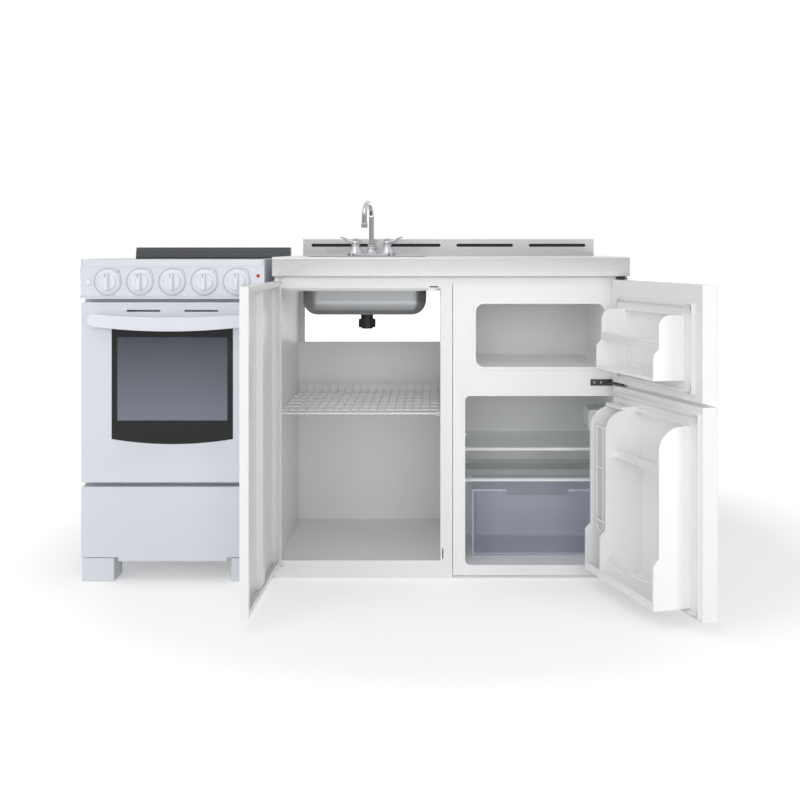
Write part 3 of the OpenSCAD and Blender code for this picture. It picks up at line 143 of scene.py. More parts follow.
class Finish:
    """One material, with a Principled shader as its surface."""

    def __init__(self, name, **shader):
        self.material = bpy.data.materials.new(name)
        self.material.use_nodes = True
        self.tree = self.material.node_tree
        self.tree.nodes.clear()
        self.shader = self.tree.nodes.new("ShaderNodeBsdfPrincipled")
        self.output = self.tree.nodes.new("ShaderNodeOutputMaterial")
        self.tree.links.new(self.shader.outputs[0], self.output.inputs[0])
        self.set(**shader)

    def set(self, **shader):
        """Base_Color=… sets the shader's own socket of that name."""
        for key, value in shader.items():
            feed(self.tree, self.shader.inputs[key.replace("_", " ")], value)

    def node(self, kind, settings=None, inputs=None, stops=None, out=0):
        """Adds any node: its settings first, then the values or wires of its sockets."""
        made = self.tree.nodes.new(kind)
        for key, value in (settings or {}).items():
            setattr(made, key, value)
        if stops:
            ramp = made.color_ramp
            while len(ramp.elements) < len(stops):
                ramp.elements.new(1.0)
            for element, (place, colour) in zip(ramp.elements, stops):
                element.position = place
                element.color = colour
        for key, value in (inputs or {}).items():
            feed(self.tree, made.inputs[key], value)
        return Wire(self.tree, made.outputs[out])

    def place(self, stretch=(1, 1, 1), turn=(0, 0, 0), shift=(0, 0, 0)):
        """Object coordinates in metres, stretched or turned by a Mapping node."""
        at = self.node("ShaderNodeTexCoord", out="Object")
        return self.node(
            "ShaderNodeMapping",
            inputs={"Vector": at, "Scale": stretch, "Rotation": turn, "Location": shift},
        )

    def axes(self):
        """X, Y and Z of the surface point as three wires, in metres."""
        at = self.node("ShaderNodeTexCoord", out="Object")
        apart = self.tree.nodes.new("ShaderNodeSeparateXYZ")
        feed(self.tree, apart.inputs[0], at)
        return [Wire(self.tree, socket) for socket in apart.outputs]

    def noise(self, scale, detail=2.0, roughness=0.5, **where):
        return self.node(
            "ShaderNodeTexNoise",
            inputs={
                "Vector": self.place(**where),
                "Scale": scale,
                "Detail": detail,
                "Roughness": roughness,
            },
        )

    def tint(self, factor, low, high):
        """Colour between two, by a wire from 0 to 1."""
        made = self.tree.nodes.new("ShaderNodeMix")
        made.data_type = "RGBA"
        feed(self.tree, made.inputs["Factor"], factor)
        feed(self.tree, made.inputs[6], low)
        feed(self.tree, made.inputs[7], high)
        return Wire(self.tree, made.outputs[2])

    def between(self, wire, low, high, to_low=0.0, to_high=1.0):
        """Maps a range of a wire to another range, held at its ends."""
        return self.node(
            "ShaderNodeMapRange",
            settings={"clamp": True},
            inputs={
                "Value": wire,
                "From Min": low,
                "From Max": high,
                "To Min": to_low,
                "To Max": to_high,
            },
        )

    def bump(self, height, distance, strength=1.0):
        made = self.node(
            "ShaderNodeBump", inputs={"Height": height, "Distance": distance, "Strength": strength}
        )
        self.set(Normal=made)
        return made


# %% [markdown]
# ## Finishes of the steel cabinet
# The cabinet is folded sheet, powder coated white. Powder flows out into a faint orange peel with a
# soft gloss. It is a fine noise in the bump and a slow one in the roughness, so that a large flat
# panel doesn't shine evenly.

# %% Powder coat
def powder_coat(name, colour, gloss=0.34, peel=0.00004):
    made = Finish(name, Specular_IOR_Level=0.5)
    slow = made.noise(5.0, detail=3.0)
    made.set(
        Base_Color=made.tint(slow, colour, tuple(min(1.0, c * 1.004) for c in colour[:3]) + (1.0,)),
        Roughness=slow * 0.03 + (gloss - 0.015),
    )
    made.bump(made.noise(650.0, detail=1.0), peel)
    return made.material


FINISHES = {
    "unit_white": powder_coat("unit_white", (0.85, 0.85, 0.855, 1)),
    "floor_grey": powder_coat("floor_grey", (0.88, 0.89, 0.9, 1), gloss=0.4),
    "fridge_white": powder_coat("fridge_white", (0.89, 0.89, 0.892, 1), gloss=0.28),
}
print("powder coats:", len(FINISHES))

# %% [markdown]
# ## Brushed steel
# Brushed sheet is scratched in one direction only. A noise stretched along X gives the scratches.
# It changes the roughness and the colour a little, and as a very shallow bump it pulls the
# reflections out sideways.

# %% Steel sheet
def brushed(name, colour, gloss, stretch=(2.0, 260.0, 260.0)):
    made = Finish(name, Metallic=1.0)
    grain = made.noise(6.0, detail=4.0, roughness=0.7, stretch=stretch)
    slow = made.noise(2.2, detail=2.0)
    dark = tuple(c * 0.93 for c in colour[:3]) + (1.0,)
    made.set(
        Base_Color=made.tint(made.between(grain, 0.35, 0.65), dark, colour),
        Roughness=grain * 0.12 + slow * 0.06 + (gloss - 0.09),
    )
    made.bump(grain, 0.00002, 0.6)
    return made.material


FINISHES["worktop_steel"] = brushed("worktop_steel", (0.74, 0.745, 0.75, 1), 0.26)
FINISHES["bowl_steel"] = brushed("bowl_steel", (0.36, 0.37, 0.38, 1), 0.3)
FINISHES["guard_steel"] = brushed("guard_steel", (0.1, 0.105, 0.115, 1), 0.36)
FINISHES["galvanised"] = brushed("galvanised", (0.5, 0.52, 0.54, 1), 0.42, stretch=(60, 60, 60))
chrome = Finish("chrome", Base_Color=(0.66, 0.67, 0.69, 1), Metallic=1.0)
chrome.set(Roughness=chrome.noise(9.0) * 0.05 + 0.04)
FINISHES["chrome"] = chrome.material

# %% [markdown]
# ## Plastics, rubber and enamel
# Liners, knobs and shelf bars are moulded, and the range is enamelled. Both are one even colour with
# a clear gloss, and differ in how fine the grain of the skin is, so one function makes them all.

# %% Mouldings
def moulding(name, colour, gloss, grain=0.00001, scale=900.0):
    made = Finish(name, Specular_IOR_Level=0.5)
    slow = made.noise(7.0, detail=2.0)
    made.set(
        Base_Color=made.tint(slow, colour, tuple(min(1.0, c * 1.006) for c in colour[:3]) + (1.0,)),
        Roughness=slow * 0.03 + (gloss - 0.015),
    )
    made.bump(made.noise(scale, detail=1.0), grain)
    return made.material


FINISHES["black_plastic"] = moulding("black_plastic", (0.018, 0.018, 0.02, 1), 0.42, 0.00005)
FINISHES["wire_white"] = moulding("wire_white", (0.88, 0.88, 0.88, 1), 0.25)
FINISHES["white_plastic"] = moulding("white_plastic", (0.88, 0.88, 0.885, 1), 0.24)
FINISHES["liner_white"] = moulding("liner_white", (0.92, 0.925, 0.93, 1), 0.2)
FINISHES["gasket_white"] = moulding("gasket_white", (0.84, 0.845, 0.85, 1), 0.6, 0.00003)
FINISHES["dark_metal"] = moulding("dark_metal", (0.035, 0.037, 0.042, 1), 0.36, 0.00003)
FINISHES["knob_white"] = moulding("knob_white", (0.79, 0.81, 0.86, 1), 0.22)
FINISHES["range_enamel"] = moulding("range_enamel", (0.71, 0.735, 0.79, 1), 0.18, 0.00001, 300.0)

# %% [markdown]
# Clear parts are given a low Alpha rather than true refraction, which stays clean at few samples
# and survives an export. The prints on the hob are drawn by distance: how far a point lies from
# the middle of its zone says whether it is on a ring.

# %% Glass and clear mouldings
shelf_glass = Finish(
    "shelf_glass", Base_Color=(0.78, 0.9, 0.87, 1), Roughness=0.03, Specular_IOR_Level=0.6
)
shelf_glass.set(Alpha=shelf_glass.noise(3.0) * 0.04 + 0.2)
FINISHES["shelf_glass"] = shelf_glass.material

# The crisper's clear styrene looks blue where the eye looks along a wall, at its edges
crisper = Finish(
    "crisper_clear", Base_Color=(0.62, 0.66, 0.85, 1), Roughness=0.05, Specular_IOR_Level=0.6
)
low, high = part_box("crisper_drawer")
rims = []
for wire, a, b in zip(crisper.axes(), low, high):
    to_wall = abs(wire - (a + b) / 2) * -1.0 + (b - a) / 2
    rims.append(crisper.between(to_wall, 0.0035, 0.007, 1.0, 0.0))
corner = rims[0] * rims[1] + rims[1] * rims[2] + rims[0] * rims[2]
crisper.set(Alpha=corner.maths("MINIMUM", corner, 1.0) * 0.5 + 0.16)
FINISHES["crisper_clear"] = crisper.material

HOB_BLACK, PRINT_GREY = (0.006, 0.006, 0.007, 1), (0.2, 0.2, 0.21, 1)
hob = Finish("hob_black")
ZONES = [(-0.13, -0.13, 0.105), (0.125, -0.13, 0.083), (-0.13, 0.11, 0.083), (0.125, 0.11, 0.105)]
hob_low, hob_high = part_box("hob_glass")
hob_x, hob_y = (hob_low[0] + hob_high[0]) / 2, (hob_low[1] + hob_high[1]) / 2
x, y, _ = hob.axes()
printed = None
for dx, dy, radius in ZONES:
    from_x, from_y = x - (hob_x + dx), y - (hob_y + dy)
    away = (from_x * from_x + from_y * from_y).power(0.5)
    line = abs(away - radius).below(0.0012) + abs(away - radius * 0.6).below(0.0006)
    printed = line if printed is None else printed + line
hob.set(Base_Color=hob.tint(printed, HOB_BLACK, PRINT_GREY), Roughness=printed * 0.3 + 0.06)
FINISHES["hob_black"] = hob.material

# Window: black printed border, and a tinted middle with a painted blue-grey sheen that is lighter
# towards the bottom
FRIT_BLACK, WINDOW_Z = (0.006, 0.007, 0.009, 1), 0.56
window = Finish("window_glass", Roughness=0.04, Specular_IOR_Level=0.22)
x, _, z = window.axes()
middle_x = sum(corner[0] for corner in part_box("oven_window")) / 2
frit = window.between(abs(x - middle_x), 0.150, 0.153)
frit = frit + window.between(abs(z - WINDOW_Z), 0.113, 0.116)
frit = frit.maths("MINIMUM", frit, 1.0)
# Painted reflection: the middle's colour runs from a lighter blue grey at the bottom to a darker one
# higher up
painted_sheen = window.tint(window.between(z, 0.45, 0.67), (0.26, 0.28, 0.34, 1), (0.1, 0.11, 0.135, 1))
window.set(Alpha=frit * 0.3 + 0.7, Base_Color=window.tint(frit, painted_sheen, FRIT_BLACK))
FINISHES["window_glass"] = window.material
lamp = Finish("lamp_red", Base_Color=(0.6, 0.02, 0.015, 1), Roughness=0.15)
FINISHES["lamp_red"] = lamp.material
# Oven enamel is dark blue grey with pale specks thrown over it
oven = Finish("oven_enamel", Roughness=0.25)
specks = oven.node("ShaderNodeTexVoronoi", inputs={"Vector": oven.place(), "Scale": 260.0})
oven.set(Base_Color=oven.tint(specks.below(0.17), (0.05, 0.055, 0.068, 1), (0.5, 0.52, 0.56, 1)))
FINISHES["oven_enamel"] = oven.material

# %% [markdown]
# Every solid names a material slot in the record, and the finish of that name goes on it.

# %% Put a finish on every solid
slots = {row["node"]: row["material_slot"] for row in frame["record"]["subparts"]}
for name, node in nodes.items():
    node.data.materials.clear()
    node.data.materials.append(FINISHES[slots[name]])
print("finishes:", len(FINISHES))

# %% [markdown]
# ## Floor and light
# A catalogue picture stands on white paper that runs out of sight. The floor here is a plain pale
# plane. What the camera sees of it gets a little glow of its own, more with the distance, so that
# it fades into the white behind, while the shade under the cabinet stays. Light Path tells a
# camera ray from the bounced light, so the glow never lights the object.

# %% Floor
floor_mesh = bpy.data.meshes.new("floor")
room = bmesh.new()
bmesh.ops.create_grid(room, x_segments=1, y_segments=1, size=30)
room.to_mesh(floor_mesh)
room.free()
floor = bpy.data.objects.new("floor", floor_mesh)
floor.location = (0, 0, -0.0005)
bpy.context.collection.objects.link(floor)
paper = Finish("paper", Base_Color=(0.9, 0.9, 0.9, 1), Roughness=0.95, Emission_Strength=1.0)
FADE_START, FADE_END = 1.0, 2.4


def seen_directly(tree):
    """1 on camera rays and on rays that metal or glass sends on, 0 on bounced light."""
    path = tree.nodes.new("ShaderNodeLightPath")
    rays = ("Is Camera Ray", "Is Glossy Ray", "Is Transmission Ray")
    kinds = [Wire(tree, path.outputs[kind]) for kind in rays]
    return kinds[0].maths("MINIMUM", kinds[0] + kinds[1] + kinds[2], 1.0)


across, along, _ = paper.axes()
reach = (across * across + along * along).power(0.5)
glow = paper.between(reach, FADE_START, FADE_END, 0.3, 1.0)
paper.set(Emission_Color=glow * seen_directly(paper.tree))
floor_mesh.materials.append(paper.material)
print("floor fades out between", FADE_START, "and", FADE_END, "m")

# %% [markdown]
# The world is white to the eye. Bounced light gets less of it, because the lamps add the rest, and
# together they come to about 1, where a colour renders as it is written. Polished metal needs
# something dark to mirror, so a studio hangs black cloth beside a bright panel. Here a ramp over
# the bearing does the same, for mirrored rays only.

# %% World
AMBIENT = 0.45
# Bearing from straight ahead as a share of half a turn, and the grey that metal mirrors there
STUDIO = [(0.0, 1.0), (0.02, 0.9), (0.06, 0.4), (0.13, 0.2), (0.27, 0.2), (0.31, 0.9), (0.4, 0.95),
          (0.45, 0.2), (0.62, 0.12), (0.7, 0.7), (0.85, 1.0), (1.0, 1.0)]
world = bpy.data.worlds.new("studio")
bpy.context.scene.world = world
world.use_nodes = True
sky = world.node_tree
sky.nodes.clear()
towards = sky.nodes.new("ShaderNodeSeparateXYZ")
sky.links.new(sky.nodes.new("ShaderNodeTexCoord").outputs["Generated"], towards.inputs[0])
sideways, depth = Wire(sky, towards.outputs[0]), Wire(sky, towards.outputs[1])
bearing = abs(sideways.maths("ARCTAN2", sideways, depth * -1.0)) / math.pi
room_ramp = sky.nodes.new("ShaderNodeValToRGB")
while len(room_ramp.color_ramp.elements) < len(STUDIO):
    room_ramp.color_ramp.elements.new(1.0)
for stop, (place, mirror) in zip(room_ramp.color_ramp.elements, STUDIO):
    stop.position = place
    stop.color = (mirror, mirror, mirror, 1)
feed(sky, room_ramp.inputs[0], bearing)
overhead = Wire(sky, towards.outputs[2]) * 2.2
ceiling = overhead.maths("MINIMUM", overhead, 0.8)
studio = overhead.maths("MAXIMUM", Wire(sky, room_ramp.outputs[0]), ceiling)
ray = sky.nodes.new("ShaderNodeLightPath")
mirrored = Wire(sky, ray.outputs["Is Glossy Ray"])
shine = sky.nodes.new("ShaderNodeBackground")
feed(sky, shine.inputs["Color"], (1, 1, 1, 1))
level = seen_directly(sky) * (1 - AMBIENT) + AMBIENT
feed(sky, shine.inputs["Strength"], level - mirrored * (studio * -1.0 + 1.0))
sky_out = sky.nodes.new("ShaderNodeOutputWorld")
sky.links.new(shine.outputs[0], sky_out.inputs[0])
print("ambient light", AMBIENT)


# %% [markdown]
# A broad panel overhead and a broader one in front give the even light of a catalogue picture. Two
# smaller panels at the sides lighten the inner faces of the open doors. All but the overhead one are
# kept out of mirrored rays, so that they don't show as bright patches in the glass or the steel.

# %% Lamps
def lamp_panel(name, at, target, size, power):
    data = bpy.data.lights.new(name, "AREA")
    data.shape = "RECTANGLE"
    data.size, data.size_y = size
    data.energy = power
    made = bpy.data.objects.new(name, data)
    made.location = at
    made.rotation_euler = (Vector(target) - Vector(at)).to_track_quat("-Z", "Y").to_euler()
    bpy.context.collection.objects.link(made)
    return made


lamp_panel("overhead", (-1.2, -2.2, 3.4), (-0.2, 0.1, 0.5), (3.0, 2.4), 18)
front = lamp_panel("front", (0.3, -8.0, 2.2), (-0.1, 0.2, 0.5), (5.5, 3.0), 160)
fill = lamp_panel("fill", (3.0, -3.4, 1.2), (-0.4, -0.3, 0.5), (1.6, 1.8), 28)
left_fill = lamp_panel("side", (-3.2, -4.2, 1.4), (0.3, -0.4, 0.5), (1.6, 1.8), 26)
front.visible_glossy = fill.visible_glossy = left_fill.visible_glossy = False
lamps = [o for o in bpy.data.objects if o.type == "LIGHT"]
print("lamps at", [tuple(round(v, 1) for v in o.location) for o in lamps])
bpy.context.scene.view_settings.view_transform = "Standard"

# %% [markdown]
# ## Tools for new pieces
# A new piece is drawn as a bmesh, cleaned, given smooth shading with sharp corners kept, and hung
# on the body that carries it. Turned parts come from a lathe: a profile that is spun about an axis.

# %% Piece tools
MM = 0.001
bodies = frame["record"]["behaviour"]["bodies"]
carrier = {node: body for body, held in bodies.items() for node in held}


def hang(made, body, slot, stands_for=()):
    """Links an object, gives it its slot's finish and lets it ride on a body."""
    if not made.data.polygons:
        raise ValueError(made.name + " has no faces")
    if not made.data.materials:
        made.data.materials.append(FINISHES[slot])
    bpy.context.collection.objects.link(made)
    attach(made, body)
    if stands_for:
        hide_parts(*stands_for)
    return made


def to_piece(name, shape, body, slot, stands_for=(), sharp=35.0):
    bmesh.ops.remove_doubles(shape, verts=shape.verts, dist=1e-6)
    bmesh.ops.recalc_face_normals(shape, faces=shape.faces)
    mesh = bpy.data.meshes.new(name)
    shape.to_mesh(mesh)
    shape.free()
    mesh.shade_smooth()
    mesh.set_sharp_from_angle(angle=math.radians(sharp))
    return hang(bpy.data.objects.new(name, mesh), body, slot, stands_for)


def lathe(shape, profile, at, axis=(0, 0, 1), steps=40):
    """Spins (radius, height) pairs in millimetres about an axis through a point in metres."""
    turn = Vector((0, 0, 1)).rotation_difference(Vector(axis)).to_matrix()
    verts = [shape.verts.new(Vector(at) + turn @ Vector((r, 0, h)) * MM) for r, h in profile]
    edges = [shape.edges.new(pair) for pair in zip(verts, verts[1:])]
    bmesh.ops.spin(
        shape, geom=verts + edges, cent=at, axis=axis, angle=math.tau, steps=steps, use_merge=True
    )


print("bodies:", len(bodies))

# %% [markdown]
# ## Soft edges
# No folded sheet or moulding has a knife edge. Each solid below gets a merged copy, and a Bevel
# modifier rounds its sharp edges by a width that suits the material. Hardened normals keep the
# large faces flat, so only the rounded strip catches the light.


# %% Rounded copies
def softened(node, width, segments=2, angle=30.0):
    shape = bmesh.new()
    shape.from_mesh(nodes[node].data)
    bmesh.ops.remove_doubles(shape, verts=shape.verts, dist=1e-5)
    bmesh.ops.dissolve_limit(
        shape, angle_limit=math.radians(0.1), verts=shape.verts, edges=shape.edges
    )
    made = to_piece(node + "_soft", shape, carrier[node], slots[node], [node], sharp=angle)
    rounding = made.modifiers.new("rounding", "BEVEL")
    rounding.width = width * MM
    rounding.segments = segments
    rounding.limit_method = "ANGLE"
    rounding.angle_limit = math.radians(angle)
    rounding.harden_normals = True
    return made


SOFT_EDGES = {
    "oven_door": 2.5, "drawer_front": 2.5, "control_panel": 2.5, "cooktop": 5, "range_feet": 4,
    "oven_handle": 5, "backguard": 2, "range_body": 2, "freezer_door_shell": 6,
    "fridge_door_shell": 6, "freezer_door_liner": 2.2, "fridge_door_liner": 2.2,
    "freezer_door_bar": 1.5, "cupboard_door": 1.2, "door_pull": 0.7, "fridge_case": 1.2,
    "crisper_drawer": 1.0, "thermostat": 2.5, "thermostat_dial": 1.2, "shelf_trims": 1.0,
    "fridge_hinges": 0.6, "side_panel": 0.5, "partition": 0.6, "base_frame": 0.6, "worktop": 0.7,
    "splashback": 0.7, "cupboard_floor": 0.5, "door_stiffener": 0.5, "drawer_box": 0.5,
}
for node, width in SOFT_EDGES.items():
    softened(node, width, segments=3 if width > 2 else 2)
print("rounded copies:", len(SOFT_EDGES))

# %% [markdown]
# ## The tap
# Two levers and a gooseneck stand on one chromed base. The neck keeps its solid, and the base gets
# a copy with soft edges. Cast chrome is never plain: each bell ends in rolled rings and the neck
# has a collar. These rings are turned on the lathe.

# %% Rings of the tap
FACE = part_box("control_panel")
LEVER = {side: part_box("lever_" + side) for side in ("left", "right")}
TAP_Y = sum(corner[1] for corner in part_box("tap_body")) / 2
TAP_X = sum(corner[0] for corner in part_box("tap_body")) / 2
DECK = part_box("splashback")[0][2]
LEVER_OFF = 0.0508  # half the spacing of the levers
HUB = {"left": TAP_X - LEVER_OFF, "right": TAP_X + LEVER_OFF}
softened("tap_body", 1.5, segments=3, angle=40)

rings = bmesh.new()
for x in HUB.values():
    foot = [(22, 6.5), (25, 7), (25.6, 8.5), (25, 10), (22.5, 11), (21, 11)]
    lathe(rings, foot, (x, TAP_Y, DECK))
    lathe(rings, [(11, 33), (14, 33.4), (14.8, 35), (14, 36.6), (11, 37)], (x, TAP_Y, DECK))
lathe(rings, [(19, 6.5), (21.5, 7.2), (22, 8.6), (21, 10), (18, 10.5)], (TAP_X, TAP_Y, DECK))
to_piece("tap_rings", rings, "unit", "chrome")

collar = bmesh.new()
COLLAR = [(10.5, 22.8), (13, 23.2), (13.6, 25), (13, 26.8), (11.4, 27.6), (11.4, 31), (8, 34)]
lathe(collar, COLLAR, (TAP_X, TAP_Y, DECK))
to_piece("spout_collar", collar, "spout", "chrome")
print("tap at", round(TAP_X, 3), round(TAP_Y, 3), "deck", DECK)

# %% [markdown]
# The neck ends in a screwed ring with a groove round it. Its outlet is dished, which one profile on
# the lathe gives.

# %% Aerator at the neck's end
SPOUT_TURN = math.radians(-11)
outlet = Vector((TAP_X, TAP_Y, 0)) + Matrix.Rotation(SPOUT_TURN, 3, "Z") @ Vector((0, -0.09, 0))
outlet.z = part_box("tap_spout")[1][2] - 0.087
aerator = bmesh.new()
lathe(aerator, [(0, 1), (7, 0.6), (7.4, -0.4), (9.4, -0.4), (10.4, 0.8), (10.4, 4), (9.6, 4.6),
                (9.6, 5.6), (10.4, 6.2), (10.4, 13), (9.4, 15.5), (7.8, 16.5)], outlet)
to_piece("aerator", aerator, "spout", "chrome")
print("outlet", [round(v, 4) for v in outlet])

# %% [markdown]
# A lever's wing is an oval bar that leaves the hub level, rises in an S and ends in a flat tip. A
# ring is carried through a row of stations, each a matrix that places, turns and stretches it, and
# the extrude operator skins the way between them.


# %% Lever wings
def loft(shape, stations, sides=16):
    """Skins the way of a ring through a row of matrices and closes both ends."""
    start = bmesh.ops.create_circle(
        shape, cap_ends=True, radius=1.0, segments=sides, matrix=stations[0]
    )
    ring = set(start["verts"])
    edges = [edge for edge in shape.edges if ring.issuperset(edge.verts)]
    for last, here in zip(stations, stations[1:]):
        grown = bmesh.ops.extrude_edge_only(shape, edges=edges)["geom"]
        ring = {item for item in grown if isinstance(item, bmesh.types.BMVert)}
        new_edges = [item for item in grown if isinstance(item, bmesh.types.BMEdge)]
        edges = [edge for edge in new_edges if ring.issuperset(edge.verts)]
        bmesh.ops.transform(shape, matrix=here @ last.inverted(), verts=list(ring))
    bmesh.ops.edgeloop_fill(shape, edges=edges)


def station(at, towards, wide, high):
    """Ring of half sizes in millimetres whose normal points along towards, seen level."""
    sideways = Vector(towards).cross(Vector((0, 0, 1))).normalized()
    upward = sideways.cross(Vector(towards)).normalized()
    turn = Matrix((sideways, upward, -Vector(towards).normalized())).transposed().to_4x4()
    return Matrix.Translation(at) @ turn @ Matrix.Diagonal((wide * MM, high * MM, MM, 1))


# Out along the wing, up from the hub's foot, half width and half height, in millimetres
WING = [(2, 7, 7, 6), (10, 7.2, 6.6, 5.6), (17, 8.6, 5, 4.4), (24, 12, 4.4, 3.8),
        (31, 16.5, 4.8, 3.6), (38, 20, 5.8, 3.4), (44, 21.6, 6.2, 3), (48.5, 22.2, 5, 2.2),
        (50, 22.3, 2.6, 1.1)]
LEVER_HUB = [(0, 0), (11.5, 0), (12.4, 1), (12, 4), (10, 8), (9, 12), (9.6, 14), (9.6, 16),
             (8, 18), (4, 19.4), (0, 19.8)]
for side, x in HUB.items():
    sign = -1 if side == "left" else 1
    low = LEVER[side][0][2]
    lever = bmesh.new()
    lathe(lever, LEVER_HUB, (x, TAP_Y, low))
    points = [Vector((x + sign * u * MM, TAP_Y, low + z * MM)) for u, z, _, _ in WING]
    ways = [b - a for a, b in zip(points, points[1:])]
    ways.append(ways[-1])
    rows = zip(points, ways, WING)
    loft(lever, [station(at, way, wide, high) for at, way, (_, _, wide, high) in rows])
    node = "lever_" + side
    to_piece(node + "_wing", lever, side + "_lever", "chrome", [node], sharp=50)
print("lever stations:", len(WING))

# %% [markdown]
# ## Knobs of the range
# Each knob is moulded in one piece: a thin skirt, a drum that narrows a little, and a grip across
# it. The drum is turned, and the grip is a cube that is stretched, bevelled and pinched at its top.
# A thin printed teardrop stands behind each knob, with four dots that tell which zone it serves.

# %% Knobs
PANEL_Y = FACE[0][1] + 0.006


def on_panel(node):
    """Middle of a node's box, brought to the panel's face."""
    lo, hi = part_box(node)
    return Vector(((lo[0] + hi[0]) / 2, PANEL_Y, (lo[2] + hi[2]) / 2))


KNOB_AT = [on_panel("knob_%d" % i) for i in range(1, 6)]
OUT = (0, -1, 0)
INK = Finish("ink", Base_Color=(0.09, 0.1, 0.13, 1), Roughness=0.5)
INK.set(Base_Color=INK.tint(INK.noise(300.0), (0.08, 0.09, 0.12, 1), (0.12, 0.13, 0.16, 1)))


def rounded_bar(shape, at, size, rounding, pinch=1.0):
    """Cube that is stretched to a size in millimetres and bevelled, its front narrowed by pinch."""
    made = bmesh.ops.create_cube(shape, size=1.0)["verts"]
    for vert in made:
        if vert.co.y < 0:
            vert.co.x *= pinch
    stretch = Matrix.Diagonal([v * MM for v in size] + [1])
    bmesh.ops.transform(shape, matrix=Matrix.Translation(at) @ stretch, verts=made)
    edges = list({edge for vert in made for edge in vert.link_edges})
    bmesh.ops.bevel(
        shape, geom=edges, offset=rounding * MM, segments=3, profile=0.5, affect="EDGES",
        material=-1,
    )


KNOB_PROFILE = [(0, 0.3), (32.6, 0.3), (33.8, 1.2), (34, 2.6), (33.2, 3.8), (28, 4.8), (25.4, 6),
                (24.4, 12.6), (22.6, 14.4), (19, 15), (0, 15.2)]
for i, at in enumerate(KNOB_AT, 1):
    knob = bmesh.new()
    lathe(knob, KNOB_PROFILE, at, OUT, steps=56)
    rounded_bar(knob, at + Vector((0, -0.0195, 0)), (17, 17, 47), 3.6, pinch=0.72)
    to_piece("knob_%d_grip" % i, knob, "knob_%d" % i, "knob_white", ["knob_%d" % i], sharp=50)
    mark = bmesh.new()
    rounded_bar(mark, at + Vector((0, -0.0281, 0.017)), (1.8, 0.5, 9), 0.2)
    drawn = to_piece("knob_%d_mark" % i, mark, "knob_%d" % i, "knob_white")
    drawn.data.materials[0] = INK.material
print("knobs at x", [round(at.x, 3) for at in KNOB_AT])

# %% [markdown]
# Printed marks are modelled as hair-thin raised lines, because a curve with a small round section
# stays crisp from near and far.


# %% Printed marks
def wires(name, paths, radius, body, slot, stands_for=(), closed=False, resolution=2):
    """One mesh of round wires, drawn as curves; paths are (points, radius in millimetres)."""
    data = bpy.data.curves.new(name, "CURVE")
    data.dimensions = "3D"
    data.bevel_depth = radius * MM
    data.bevel_resolution = resolution
    data.use_fill_caps = not closed
    for points, thickness in paths:
        spline = data.splines.new("POLY")
        spline.points.add(len(points) - 1)
        spline.use_cyclic_u = closed
        spline.use_smooth = True
        for knot, point in zip(spline.points, points):
            knot.co = (*point, 1)
            knot.radius = thickness / radius
    drawn = bpy.data.objects.new(name, data)
    mesh = bpy.data.meshes.new_from_object(drawn)
    bpy.data.objects.remove(drawn)
    mesh.name = name
    return hang(bpy.data.objects.new(name, mesh), body, slot, stands_for)


def around(centre, radius, start, stop, steps):
    """Points on an upright arc, with angles in degrees and the radius in millimetres."""
    turns = [math.radians(start + (stop - start) * i / steps) for i in range(steps + 1)]
    return [centre + Vector((math.cos(t), 0, math.sin(t))) * radius * MM for t in turns]


INK_Y = Vector((0, -0.0001, 0))
teardrops = []
for at in KNOB_AT:
    flag = [at + Vector((0.031, 0, 0.0335)) + INK_Y]
    teardrops.append((around(at + INK_Y, 37.5, 74, 376, 40) + flag, 0.45))
prints = wires("teardrops", teardrops, 0.45, "unit", "range_enamel", closed=True)
prints.data.materials[0] = INK.material

dots = bmesh.new()
for i, at in enumerate(KNOB_AT):
    for k in range(4):
        spot = at + Vector((0.0262 + 0.0032 * (k % 2), 0.0001, 0.0262 + 0.0032 * (k // 2)))
        size = 1.15 if k == i or i == 0 else 0.65
        lathe(dots, [(0, 0.25), (size, 0.2), (size, 0)], spot, OUT, steps=12)
to_piece("zone_dots", dots, "unit", "range_enamel").data.materials[0] = INK.material
print("printed marks:", len(teardrops), "teardrops")

# %% [markdown]
# A sprung button and a red lamp sit in turned bezels at the two ends of the panel.

# %% Light button and indicator lamp
button_at, lamp_at = on_panel("light_button"), on_panel("indicator_lamp")
button = bmesh.new()
CAP = [(0, -8), (8.8, -8), (8.8, 3.6), (8.2, 4.6), (6.4, 5.1), (3.5, 4.6), (0, 4.4)]
lathe(button, CAP, button_at, OUT)
to_piece("button_cap", button, "button", "knob_white", ["light_button"])
bezels = bmesh.new()
lathe(bezels, [(9.1, 0), (11, 0), (10.7, 1), (9.8, 1.4), (9.1, 1)], button_at, OUT)
lathe(bezels, [(4.9, 0), (6.8, 0), (6.5, 0.9), (5.6, 1.3), (4.9, 1)], lamp_at, OUT)
to_piece("panel_bezels", bezels, "unit", "knob_white")
lens = bmesh.new()
lathe(lens, [(0, -8), (4.8, -8), (4.8, 1), (4.2, 2.2), (2.4, 3), (0, 3.3)], lamp_at, OUT, steps=24)
to_piece("lamp_lens", lens, "unit", "lamp_red", ["indicator_lamp"])
print("button at", [round(v, 3) for v in button_at])

# %% [markdown]
# ## Wire racks
# The cupboard shelf is welded from coated wire. The long wires run front to back and turn up at the
# rear into a lip, and thicker cross wires carry them. Curves with a round section give the wire,
# and are made one mesh, so one object holds a whole rack.

